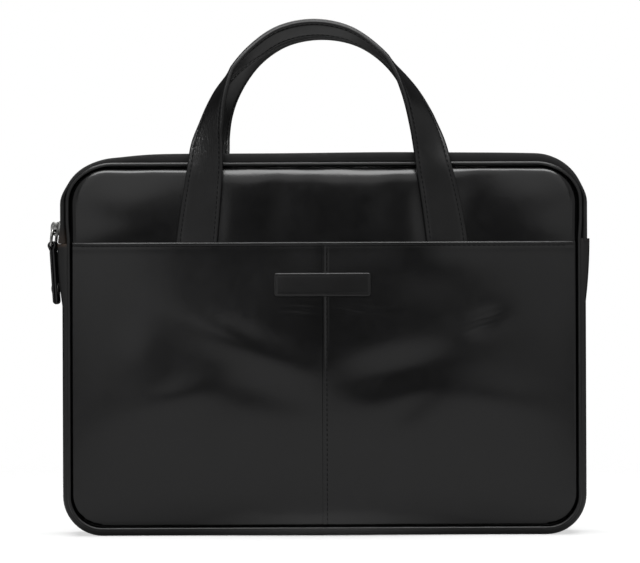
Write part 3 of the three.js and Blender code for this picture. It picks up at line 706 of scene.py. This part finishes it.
def inside_border(x, z, half_wide, half_high, radius):
    """Distance of a point from the border of an oblong with round corners."""
    beyond_x = abs(x) - (half_wide - radius)
    beyond_z = abs(z) - (half_high - radius)
    outside = np.hypot(np.maximum(beyond_x, 0), np.maximum(beyond_z, 0))
    return radius - outside - np.minimum(np.maximum(beyond_x, beyond_z), 0)


def border_distance(x, z):
    """Distance of a point of a panel from the panel's border."""
    middle = (PANEL_TOP + PANEL_BOTTOM) / 2
    radius = np.where(z > middle, PANEL_TOP_CORNER, PANEL_BOTTOM_CORNER)
    return inside_border(x, z - middle, PANEL_HALF_WIDTH, PANEL_TOP - middle, radius)


def in_fold(x, z, middle_x, middle_z, length, width, degrees):
    """Where a point is along and across a fold, and the fold's share there."""
    turn = math.radians(degrees)
    along = (x - middle_x) * math.cos(turn) + (z - middle_z) * math.sin(turn)
    across = (z - middle_z) * math.cos(turn) - (x - middle_x) * math.sin(turn)
    return along, across, np.exp(-((along / length) ** 2) - (across / width) ** 2)


def folds(x, z, table):
    """Height of a table of soft folds."""
    return sum(rise * in_fold(x, z, *form)[2] for *form, rise in table)


def panel_face(x, z):
    """Depth of a panel's outer face from the bag's middle."""
    distance = border_distance(x, z)
    aside = smooth((abs(x) - SIDE_START) / (SIDE_END - SIDE_START))
    turned = 1 - np.clip(distance / PANEL_EDGE_REACH, 0, 1)
    reach = PANEL_ROLL_REACH + aside * (SIDE_ROLL_REACH - PANEL_ROLL_REACH)
    reach = reach * (1 + sum(share * np.sin(x / length) for share, length in PANEL_WAVER))
    inward = 1 - np.clip(distance / reach, 0, 1)
    easing = 1 - np.clip(distance / PANEL_EASE_REACH, 0, 1)
    roll = PANEL_EDGE * np.sqrt(1 - turned**2) + PANEL_EASE * (1 - easing**2)
    roll = roll + (PANEL_ROLL + aside * (SIDE_ROLL - PANEL_ROLL)) * (1 - inward**2)
    roll = roll - np.where(distance < 0, PANEL_TUCK_DEPTH, 0)
    share_x = x / PANEL_HALF_WIDTH
    share_z = (2 * z - PANEL_TOP - PANEL_BOTTOM) / (PANEL_TOP - PANEL_BOTTOM)
    return PANEL_BORDER_DEPTH + roll + PANEL_CROWN * (1 - share_x**2) * (1 - share_z**2)


def bite(distance, corner):
    """What a round corner takes off at a distance from the end."""
    return corner * (1 - np.sqrt(1 - np.clip(1 - distance / corner, 0, 1) ** 2))


def half_width(z, beyond):
    """Half the width at a height of an outline that lies this far outside a panel's border."""
    low = bite(z - PANEL_BOTTOM + beyond, PANEL_BOTTOM_CORNER + beyond)
    high = bite(PANEL_TOP + beyond - z, PANEL_TOP_CORNER + beyond)
    return PANEL_HALF_WIDTH + beyond - low - high


def graded(start, end, fine, coarse):
    """Places from start to end, close together at both."""
    places = [0.0]
    step = fine
    half = abs(end - start) / 2
    while places[-1] < half:
        places.append(places[-1] + step)
        step = min(step * STEP_GROWTH, coarse)
    places = np.array(places) * (half / places[-1])
    both = np.append(places, 2 * half - places[-2::-1])
    return start + both * math.copysign(1, end - start)


def sheet(name, x, depths, z, material):
    """A sheet with two faces, each a grid of points, closed along its four borders."""
    points = np.array([np.stack(np.broadcast_arrays(x, depth, z), -1) for depth in depths])
    grid = np.arange(points[0, ..., 0].size).reshape(points.shape[1:3])
    border = np.concatenate([grid[0], grid[1:, -1], grid[-1, -2::-1], grid[-2:0:-1, 0]])
    ahead = np.roll(border, -1)
    walls = np.stack([border, ahead, ahead + grid.size, border + grid.size], -1)
    faces = quads(grid) + quads(grid + grid.size) + walls.tolist()
    return mesh_object(name, points, faces, material)


panel_leather = leather("panel_leather", roughness=0.20, crease=0.25)
z = graded(PANEL_BOTTOM - PANEL_TUCK, PANEL_TOP + PANEL_TUCK, PANEL_FINE_STEP, PANEL_STEP)[:, None]
share = graded(-1, 1, PANEL_FINE_STEP / PANEL_HALF_WIDTH, PANEL_STEP / PANEL_HALF_WIDTH)
x = share * half_width(z, PANEL_TUCK)
from_border = border_distance(x, z)
padding = PANEL_LEATHER + smooth(from_border / PANEL_ROLL_REACH) * (PANEL_PADDING - PANEL_LEATHER)
inner = panel_face(x, z) - padding
for side, toward, hollows in (("front", -1, FRONT_HOLLOWS), ("back", 1, BACK_HOLLOWS)):
    outer = panel_face(x, z) + smooth(from_border / PANEL_SETTLE) * folds(x, z, hollows)
    panel = sheet(f"{side}_panel_leather", x, (toward * outer, toward * inner), z, panel_leather)
    fit(panel, "leather", f"{side}_panel")

# Slip pocket: two pieces of soft leather over the front panel, turned under along the mouth and
# sewn down. The right piece laps the left one in the middle, and both have slack that folds.
POCKET_MOUTH = 0.2126
POCKET_SEAM_X = -0.0014
POCKET_LEATHER = 0.0018
POCKET_INSET = 0.0023
POCKET_ROOM = 0.006
POCKET_SIDE_REACH = 0.085
POCKET_BOTTOM_REACH = 0.100
POCKET_FINE_STEP = 0.00025
POCKET_STEP = 0.0013
HEM_RISE = 0.0002
HEM_DEPTH = 0.009
HEM_STITCH = 0.0029
HEM_GROOVE = 0.4
HEM_ROUND = math.radians(85.5)
HEM_ROUND_STEPS = 6
LAP_RISE = 0.0003
LAP_WIDTH = 0.0036
LAP_STITCH = 0.0032
LAP_DIP = 0.00012
MOUTH_SEAM_END = 0.176
# Soft folds of the slack leather
POCKET_FOLDS = np.array([
    # x, z, length, width, turn, rise
    (-0.045, 0.206, 0.055, 0.040, 0, -0.0024),
    (-0.055, 0.138, 0.052, 0.015, -23, 0.0019),
    (-0.050, 0.104, 0.040, 0.011, -15, -0.0004),
    (-0.134, 0.128, 0.032, 0.018, 75, 0.0010),
    (-0.118, 0.095, 0.050, 0.014, 23, 0.0009),
    (0.076, 0.203, 0.042, 0.034, 4, 0.0028),
    (0.040, 0.139, 0.055, 0.018, 8, 0.0006),
    (0.055, 0.120, 0.038, 0.015, 14, -0.0015),
    (0.062, 0.092, 0.022, 0.011, 35, -0.0006),
    (0.130, 0.096, 0.050, 0.020, -16, 0.0008),
    (0.117, 0.155, 0.016, 0.009, 25, -0.0009),
])
# Patches of fine wrinkles; wave: from one wrinkle to the next
POCKET_WRINKLES = np.array([
    # x, z, length, width, turn, rise, wave
    (-0.040, 0.097, 0.024, 0.006, -10, 0.00004, 0.0027),
    (-0.015, 0.164, 0.016, 0.006, 4, 0.00012, 0.0050),
    (0.117, 0.153, 0.014, 0.007, 25, 0.00007, 0.0055),
    (0.020, 0.163, 0.020, 0.006, -3, 0.00010, 0.0052),
])
WRINKLE_WANDER = 1.8


def wrinkles(x, z, table):
    """Height of patches of fine wrinkles that wander a little along their length."""
    total = 0
    for *form, rise, wave in table:
        along, across, share = in_fold(x, z, *form)
        wander = WRINKLE_WANDER * np.sin(along / (2 * wave)) + np.sin(along / (5 * wave))
        total = total + rise * share * np.sin(2 * math.pi * across / wave + wander)
    return total


def pocket_face(x, z):
    """Depth of the pocket's outer face from the bag's middle."""
    from_side = PANEL_HALF_WIDTH - abs(x)
    from_bottom = z - PANEL_BOTTOM
    open_share = 1 - (1 - np.clip(from_side / POCKET_SIDE_REACH, 0, 1)) ** 2
    open_share = open_share * smooth(from_bottom / POCKET_BOTTOM_REACH)
    slack = POCKET_ROOM - GAP + folds(x, z, POCKET_FOLDS) + wrinkles(x, z, POCKET_WRINKLES)
    return panel_face(x, z) + GAP + open_share * slack + POCKET_LEATHER


def sewn_edges(x, z):
    """What the turned mouth and the lapped middle seam add to the pocket's outer face."""
    from_mouth = POCKET_MOUTH - z
    hem = HEM_RISE * (1 - smooth(from_mouth / HEM_DEPTH))
    hem = hem - HEM_GROOVE * groove(from_mouth - HEM_STITCH)
    from_seam = x - POCKET_SEAM_X
    lap = LAP_RISE * (1 - smooth((from_seam - LAP_WIDTH / 2) / LAP_WIDTH))
    lap = lap - groove(from_seam - LAP_STITCH)
    dip = -LAP_DIP * np.exp(from_seam / LAP_WIDTH)
    return hem + np.where(from_seam > 0, lap, dip)


def on_pocket(x, z):
    """A seam along places on the pocket: their points and the direction off the leather."""
    x, z = np.broadcast_arrays(x, z)
    points = np.stack([x, -pocket_face(x, z) - sewn_edges(x, z), z], -1)
    return points, 0 * points + (0, -1, 0)


pocket_leather = leather("pocket_leather", roughness=0.21, crease=0.2)
mouth_round = (POCKET_LEATHER + HEM_RISE) / 2
rows = graded(PANEL_BOTTOM, POCKET_MOUTH - mouth_round, POCKET_FINE_STEP, POCKET_STEP)
over = np.linspace(0, HEM_ROUND, HEM_ROUND_STEPS + 1)[1:]
z = np.append(rows, POCKET_MOUTH - mouth_round + mouth_round * np.sin(over))[:, None]
pulled_in = np.append(0 * rows, mouth_round * (1 - np.cos(over)))[:, None]
share = graded(0, 1, 4 * POCKET_FINE_STEP / BODY_WIDTH, 2 * POCKET_STEP / BODY_WIDTH)
for side, toward in (("left", -1), ("right", 1)):
    seam = POCKET_SEAM_X + toward * GAP / 2
    x = seam + share * (toward * half_width(z, -POCKET_INSET) - seam)
    outer = pocket_face(x, z) + sewn_edges(x, z) - pulled_in
    inner = pocket_face(x, z) - POCKET_LEATHER + pulled_in
    pocket = sheet(f"pocket_{side}_leather", x, (-outer, -inner), z, pocket_leather)
    fit(pocket, "leather", f"pocket_{side}")

mouth_x = np.arange(-MOUTH_SEAM_END, MOUTH_SEAM_END, STITCH_PITCH / 2)
lap_z = np.arange(PANEL_BOTTOM, POCKET_MOUTH - 2 * HEM_STITCH, STITCH_PITCH / 2)
mouth_seam = on_pocket(mouth_x, POCKET_MOUTH - HEM_STITCH)
sewn("pocket_stitching", [mouth_seam, on_pocket(POCKET_SEAM_X + LAP_STITCH, lap_z)])

# Label: a plain leather patch over the middle seam, stuck on, with a fine line pressed in round its
# border.
LABEL_X = -0.0012
LABEL_Z = 0.1818
LABEL_WIDTH = 0.070
LABEL_HEIGHT = 0.017
LABEL_CORNER = 0.0022
LABEL_THICKNESS = 0.0014
LABEL_EDGE = 0.0009
LABEL_RIM_SHARE = 0.35
LABEL_LINE = 0.0019
LABEL_LINE_DEPTH = 0.0001
LABEL_LINE_WIDTH = 0.0004
LABEL_FINE_STEP = 0.00015
LABEL_STEP = 0.0006

z = graded(-LABEL_HEIGHT / 2, LABEL_HEIGHT / 2, LABEL_FINE_STEP, LABEL_STEP)[:, None]
label_half = LABEL_WIDTH / 2 - bite(LABEL_HEIGHT / 2 - abs(z), LABEL_CORNER)
x = graded(-1, 1, LABEL_FINE_STEP / LABEL_WIDTH, LABEL_STEP / LABEL_WIDTH) * label_half
from_edge = inside_border(x, z, LABEL_WIDTH / 2, LABEL_HEIGHT / 2, LABEL_CORNER)
rounded = np.sqrt(1 - (1 - np.clip(from_edge / LABEL_EDGE, 0, 1)) ** 2)
pressed = LABEL_LINE_DEPTH * np.exp(-(((from_edge - LABEL_LINE) / LABEL_LINE_WIDTH) ** 2))
x, z = LABEL_X + x, LABEL_Z + z
under = pocket_face(x, z) + GAP
over = under + LABEL_THICKNESS * (LABEL_RIM_SHARE + (1 - LABEL_RIM_SHARE) * rounded) - pressed
label_leather = leather("label_leather", roughness=0.26, crease=0.3)
fit(sheet("label_patch", x, (-over, -under), z, label_leather), "leather", "label")

# Handles: two leather straps of two layers, sewn along both edges. Each rises flat from its panel,
# then turns edge-on into an arch, and the left legs are wrinkled where they twist.
STRAP_THICKNESS = 0.0036
STRAP_EDGE = 0.0012
STRAP_CROWN = 0.0002
STRAP_STITCH = 0.0028
STRAP_STEP = 0.0012
HANDLE_SHIFT = -0.0014
# side: from the handle's middle; depth: from the bag's middle; then the twists in degrees of the
# front handle's left and right legs, and of the back handle's
HANDLE_ARCH = np.array([
    # side, height, depth, width, front left, front right, back left, back right
    (0.0924, 0.1900, 0.0275, 0.0295, 0, 0, 0, 0),
    (0.0902, 0.2145, 0.0272, 0.0295, 0, 0, 0, 0),
    (0.0864, 0.2430, 0.0285, 0.0278, 0, 0, 0, 0),
    (0.0824, 0.2680, 0.0299, 0.0256, 2, 2, 2, 2),
    (0.0805, 0.2800, 0.0305, 0.0250, 16, 16, 14, 16),
    (0.0774, 0.2940, 0.0302, 0.0245, 41, 34, 28, 34),
    (0.0733, 0.3085, 0.0280, 0.0240, 58, 49, 40, 50),
    (0.0675, 0.3230, 0.0260, 0.0240, 73, 65, 52, 68),
    (0.0592, 0.3375, 0.0238, 0.0240, 91, 82, 64, 82),
    (0.0460, 0.3530, 0.0220, 0.0240, 107, 97, 80, 89),
    (0.0270, 0.3665, 0.0210, 0.0240, 111, 105, 89, 90),
    (0.0000, 0.3722, 0.0205, 0.0240, 110, 110, 90, 90),
])
HANDLES = [
    # name, toward, lean, drop, spread, left belly, first twist column
    ("front", -1, -0.0058, 0.0, 0.0, 0.0, 4),
    ("back", 1, 0.0008, 0.007, 0.004, 0.0038, 6),
]
TWIST_RUN = 0.098
TWIST_RUN_HALF = 0.022


def strap_section(half_width):
    """Ring of a strap, across and through, pulled in along both rows of stitches."""
    half = STRAP_THICKNESS / 2
    round_off = np.linspace(0, math.pi / 2, 5)
    edge_across = half_width - STRAP_EDGE + STRAP_EDGE * np.cos(round_off)
    edge_through = half - STRAP_EDGE + STRAP_EDGE * np.sin(round_off)
    pulled = half_width - STRAP_STITCH + GROOVE_HALF_WIDTH * np.linspace(1.5, -1.5, 7)
    face_across = np.concatenate([pulled, np.linspace(1, -1, 9) * pulled[-1] * 0.9, -pulled[::-1]])
    across = np.concatenate([edge_across, face_across, -edge_across[::-1]])
    flat = np.full(len(face_across), half)
    through_half = np.concatenate([edge_through, flat, edge_through[::-1]])
    crown = STRAP_CROWN * np.clip(1 - (across / half_width) ** 2, 0, 1)
    rise = through_half + crown - groove(half_width - abs(across) - STRAP_STITCH)
    return np.append(across, -across), np.append(rise, -rise)


handle_leather = leather("handle_leather", roughness=0.34, crease=0.3, shine=0.45, twisted="twist")
apex = HANDLE_ARCH[-1, 1]
depth_axis = np.array([0, 1, 0])
for name, toward, lean, drop, spread, belly, twist in HANDLES:
    side, height, depth, width = HANDLE_ARCH[:, :4].T
    left_turn, right_turn = np.radians(HANDLE_ARCH[:, twist:twist + 2]).T
    raised = lean * smooth((height - GUSSET_END) / (apex - GUSSET_END))
    above = np.maximum(height - BODY_HEIGHT, 0) / (apex - BODY_HEIGHT)
    left_side = side + belly * 4 * above * (1 - above)
    column = [height - drop * above, toward * (depth + spread * above), width]
    left = np.column_stack([HANDLE_SHIFT - left_side + raised, *column, left_turn])
    right = np.column_stack([HANDLE_SHIFT + side + raised, *column, right_turn])
    way = through(np.concatenate([left, right[-2::-1]]), STRAP_STEP)
    edge_line = way[:, [0, 2, 1]]
    ahead = unit(np.gradient(edge_line, axis=0))
    inward = unit(np.cross(depth_axis, ahead))
    centre = edge_line + inward * np.maximum(-np.cos(way[:, 4:]), 0) * way[:, 3:4] / 2
    wide = inward * np.cos(way[:, 4:]) + toward * depth_axis * np.sin(way[:, 4:])
    wide = unit(wide - ahead * np.sum(wide * ahead, 1, keepdims=True))
    thick = np.cross(ahead, wide)
    run = STRAP_STEP * np.arange(len(way))
    rings = []
    for index, half in enumerate(way[:, 3] / 2):
        across, rise = strap_section(half)
        rings.append(centre[index] + across[:, None] * wide[index] + rise[:, None] * thick[index])
    handle = loft(f"handle_{name}_strap", rings, handle_leather)
    strain = np.exp(-(((run - TWIST_RUN) / TWIST_RUN_HALF) ** 2))
    mark(handle, "twist", np.repeat(strain, len(rings[0])))
    fit(handle, "leather", f"handle_{name}")
    lines = []
    for edge, face in ((-1, -1), (-1, 1), (1, -1), (1, 1)):
        inset = edge * (way[:, 3:4] / 2 - STRAP_STITCH)
        level = face * (STRAP_THICKNESS / 2 + STRAP_CROWN / 3 - GROOVE_DEPTH)
        lines.append((centre + inset * wide + level * thick, face * thick))
    sewn(f"handle_{name}_stitching", lines)

# Zip slider: a nickel-plated casting that clasps the teeth at the left end, with a bridge over it
# that holds the pull's link.
ZIP_END = np.array([-(BODY_WIDTH / 2 + ZIP_FLARE), 0.0, 0.222])
SLIDER_LENGTH = 0.011
SLIDER_SHIFT = 0.0014
SLIDER_HALF_WIDTH = 0.0047
SLIDER_TAIL = 0.0039
SLIDER_PLATE = 0.0022
SLIDER_SOFT_EDGE = 0.0005
CHEEK_WIDTH = 0.0013
CHEEK_DEPTH = 0.0026
CHEEK_LENGTH = 0.0088
CHEEK_SQUARENESS = (0.25, 0.4)
CHEEK_SIDES = 20
TEETH_HALF_WIDTH = 0.003
BRIDGE_BASE = 0.0012
BRIDGE_TOP = 0.0082
BRIDGE_HALF_LENGTH = 0.0053
BRIDGE_HALF_WIDTH = 0.0015
BRIDGE_SOFT_EDGE = 0.0006
BRIDGE_SQUARENESS = 0.85
HINGE_OUT = 0.0053
EYE_RADIUS = 0.0014
EYE_SIDES = 40
NICKEL_DARK = (0.10, 0.10, 0.095, 1)
NICKEL_LIGHT = (0.46, 0.46, 0.45, 1)
SMEAR_SIZE = 0.003
SCRATCH_SIZE = 0.0007
SCRATCH_DEPTH = 0.00002


def nickel(name, roughness):
    material, finish, place = new_finish(name)
    smear = noise(place, SMEAR_SIZE, 4)
    scratch = noise(place, SCRATCH_SIZE, 3)
    colour = finish.colour(finish.ramp(smear, 0.38, 0.66), NICKEL_DARK, NICKEL_LIGHT)
    skin = {"Base Color": colour, "Metallic": 1.0, "Roughness": roughness + smear * 0.16}
    surface(finish, skin, scratch * SCRATCH_DEPTH)
    return material


def placed(out, across, up):
    """Points off the zip's end: out of the bag, across it and up along the zip."""
    out, across, up = np.broadcast_arrays(out, across, up)
    return ZIP_END + np.stack([-out, across, up], -1)


def squared(wave, power):
    """A wave that is drawn to its ends, for a ring with square corners."""
    return np.sign(wave) * abs(wave) ** power


polished_nickel = nickel("polished_nickel", 0.10)
half = SLIDER_LENGTH / 2
nose = np.linspace(0, math.pi, 17)
shield_across = np.append([-SLIDER_TAIL, SLIDER_TAIL], SLIDER_HALF_WIDTH * np.cos(nose))
shield_up = np.append([-half, -half], half / 2 + half / 2 * np.sin(nose))
soft = SLIDER_SOFT_EDGE
shield_levels = np.array([
    # inset, level
    (soft, 0),
    (0, soft),
    (0, SLIDER_PLATE - 2 * soft),
    (soft, SLIDER_PLATE - soft / 3),
    (3 * soft, SLIDER_PLATE),
])
inset, level = shield_levels.T[:, :, None]
across = shield_across * (1 - inset / SLIDER_HALF_WIDTH)
rings = placed(GAP + level, across, SLIDER_SHIFT + shield_up * (1 - inset / half))
fit(loft("zip_slider_plate", rings, polished_nickel), "hardware", "zip_slider")

turn = full_turn(EYE_SIDES)
rise = (1 + squared(np.cos(turn), BRIDGE_SQUARENESS)) / 2
edge_out = BRIDGE_BASE + (BRIDGE_TOP - BRIDGE_BASE) * rise
edge_up = SLIDER_SHIFT + BRIDGE_HALF_LENGTH * squared(np.sin(turn), BRIDGE_SQUARENESS)
eye_out = HINGE_OUT + EYE_RADIUS * np.cos(turn)
eye_up = EYE_RADIUS * np.sin(turn)
across = mirrored(BRIDGE_HALF_WIDTH - BRIDGE_SOFT_EDGE * np.array([1, 0, 0, 1 / 3, 1]), -1)
rings = []
for edge, eye in zip(np.column_stack([edge_out, edge_up]), np.column_stack([eye_out, eye_up])):
    soft = BRIDGE_SOFT_EDGE / math.dist(edge, eye)
    into = mirrored(np.array([1, 1 - soft / 2, soft, soft / 4, 0]))[:, None]
    out, up = (edge + (eye - edge) * into).T
    rings.append(placed(out, across, up))
fit(loft("zip_slider_bridge", rings, polished_nickel, closed=True), "hardware")

turn = full_turn(CHEEK_SIDES) + math.pi / CHEEK_SIDES
cheek_up = CHEEK_LENGTH / 2 * squared(np.cos(turn), CHEEK_SQUARENESS[0])
cheek_across = CHEEK_WIDTH / 2 * squared(np.sin(turn), CHEEK_SQUARENESS[1])
cheek_levels = np.array([
    # size, level
    (0.8, -CHEEK_DEPTH),
    (1.0, -CHEEK_DEPTH + SLIDER_SOFT_EDGE),
    (1.0, GAP + SLIDER_PLATE / 2),
])
size, level = cheek_levels.T[:, :, None]
for name, side in (("front", -1), ("back", 1)):
    middle = side * (TEETH_HALF_WIDTH + GAP + CHEEK_WIDTH / 2)
    rings = placed(level, middle + cheek_across * size, SLIDER_SHIFT + cheek_up * size)
    fit(loft(f"zip_slider_cheek_{name}", rings, polished_nickel), "hardware")

# Zip pull: a wire link through the slider's bridge, a strip of leather folded round the link, and a
# two-headed rivet that holds the fold. The whole pull swings on the link's upper bar.
LINK_WIRE = 0.0011
LINK_HALF_WIDTH = 0.0069
LINK_DROP = 0.011
LINK_OUT = 0.0012
LINK_CORNER = 0.0022
LINK_SIDES = 12
PULL_YAW = math.radians(10)
TAB_WIDTH = 0.0096
TAB_LENGTH = 0.0430
TAB_LEATHER = 0.0019
TAB_LAYER = 0.00105
TAB_LEAN = math.radians(3.6)
TAB_END_CORNER = 0.003
TAB_END_SHARE = 0.9
TAB_TIP = 0.0022
TAB_TIP_SHARE = 0.95
TAB_STEP = 0.0007
TAB_SQUARENESS = (0.25, 0.45)
TAB_SIDES = 20
RIVET_DROP = 0.0318
RIVET_SEAT = 0.0020
RIVET_HEAD = 0.0041
RIVET_DOME = 0.0010
RIVET_SIDES = 32
# Half of the fold, from its free end to over the link's lower bar
TAB_FOLD = np.array([
    # away from the tab's middle, down
    (TAB_LAYER, TAB_LENGTH),
    (TAB_LAYER, 0.0120),
    (TAB_LAYER, 0.0060),
    (TAB_LAYER, 0.0034),
    (0.0018, 0.0016),
    (0.0023, 0.0),
    (0.0016, -0.0016),
    (0.0, -0.0023),
])
# Rivet head, from its rim to the top of its dome
RIVET_PROFILE = np.array([
    # radius, out
    (0.94, -0.10),
    (1.00, 0.10),
    (0.98, 0.32),
    (0.86, 0.50),
    (0.74, 0.55),
    (0.66, 0.78),
    (0.45, 0.94),
    (0.20, 1.00),
    (0.02, 1.00),
])

corner_turn = np.linspace(0, math.pi / 2, 7)
corner_across = LINK_HALF_WIDTH - LINK_CORNER + LINK_CORNER * np.sin(corner_turn)
corner_down = LINK_CORNER - LINK_CORNER * np.cos(corner_turn)
link_across = mirrored(mirrored(corner_across), -1)
link_down = mirrored(np.append(corner_down, LINK_DROP - corner_down[::-1]))
link_out = HINGE_OUT + LINK_OUT * link_down / LINK_DROP - link_across * math.sin(PULL_YAW)
link_line = placed(link_out, link_across * math.cos(PULL_YAW), -link_down)
link_ahead = unit(np.roll(link_line, -1, 0) - np.roll(link_line, 1, 0))
link_up = unit(np.cross(link_line[1] - link_line[0], link_line[8] - link_line[0]))
link_aside = np.cross(link_ahead, link_up)
turn = full_turn(LINK_SIDES)[:, None]
link_ring = np.cos(turn) * link_aside[:, None] + np.sin(turn) * link_up
rings = link_line[:, None] + LINK_WIRE * link_ring
link = loft("pull_link_wire", rings, polished_nickel, closed=True)
fit(link, "hardware", "pull_link", body="zip_pull")

tab_top = placed(HINGE_OUT + LINK_OUT, 0, -LINK_DROP)
tab_across = np.array([math.sin(PULL_YAW), math.cos(PULL_YAW), 0])
tab_down = Vector((math.sin(TAB_LEAN), 0, -math.cos(TAB_LEAN)))
tab_down.rotate(Euler((0, 0, -PULL_YAW)))
tab_away = np.cross(tab_across, tab_down)
tab_down = np.array(tab_down)
fold = through(np.concatenate([TAB_FOLD, TAB_FOLD[-2::-1] * (-1, 1)]), TAB_STEP)
fold_run = unit(np.gradient(fold, axis=0))
from_end = TAB_LENGTH - fold[:, 1]
tab_half = TAB_WIDTH / 2 - TAB_END_SHARE * bite(from_end, TAB_END_CORNER)
turn = full_turn(TAB_SIDES) + math.pi / TAB_SIDES
ring_across = squared(np.cos(turn), TAB_SQUARENESS[0])
ring_through = squared(np.sin(turn), TAB_SQUARENESS[1]) * TAB_LEATHER / 2
tip = np.sqrt(1 - np.clip(1 - from_end / TAB_TIP, 0, TAB_TIP_SHARE) ** 2)
rings = []
for (away, down), (run_away, run_down), half, thinned in zip(fold, fold_run, tab_half, tip):
    off = thinned * ring_through[:, None] * (run_down * tab_away - run_away * tab_down)
    middle = tab_top + thinned * away * tab_away + down * tab_down
    rings.append(middle + off + (ring_across * half)[:, None] * tab_across)
tab = loft("pull_tab_leather", rings, leather("pull_leather", roughness=0.42))
fit(tab, "leather", "pull_tab", body="zip_pull")

satin_nickel = nickel("satin_nickel", 0.36)
rivet_middle = tab_top + RIVET_DROP * tab_down
turn = full_turn(RIVET_SIDES)[:, None]
around = np.cos(turn) * tab_across + np.sin(turn) * tab_down
radius, out = RIVET_PROFILE.T[:, :, None, None]
for name, facing in (("outer", 1), ("inner", -1)):
    level = facing * (RIVET_SEAT + out * RIVET_DOME)
    rings = rivet_middle + level * tab_away + radius * RIVET_HEAD * around
    head = loft(f"pull_rivet_{name}", rings, satin_nickel)
    fit(head, "hardware", "pull_rivet", body="zip_pull")
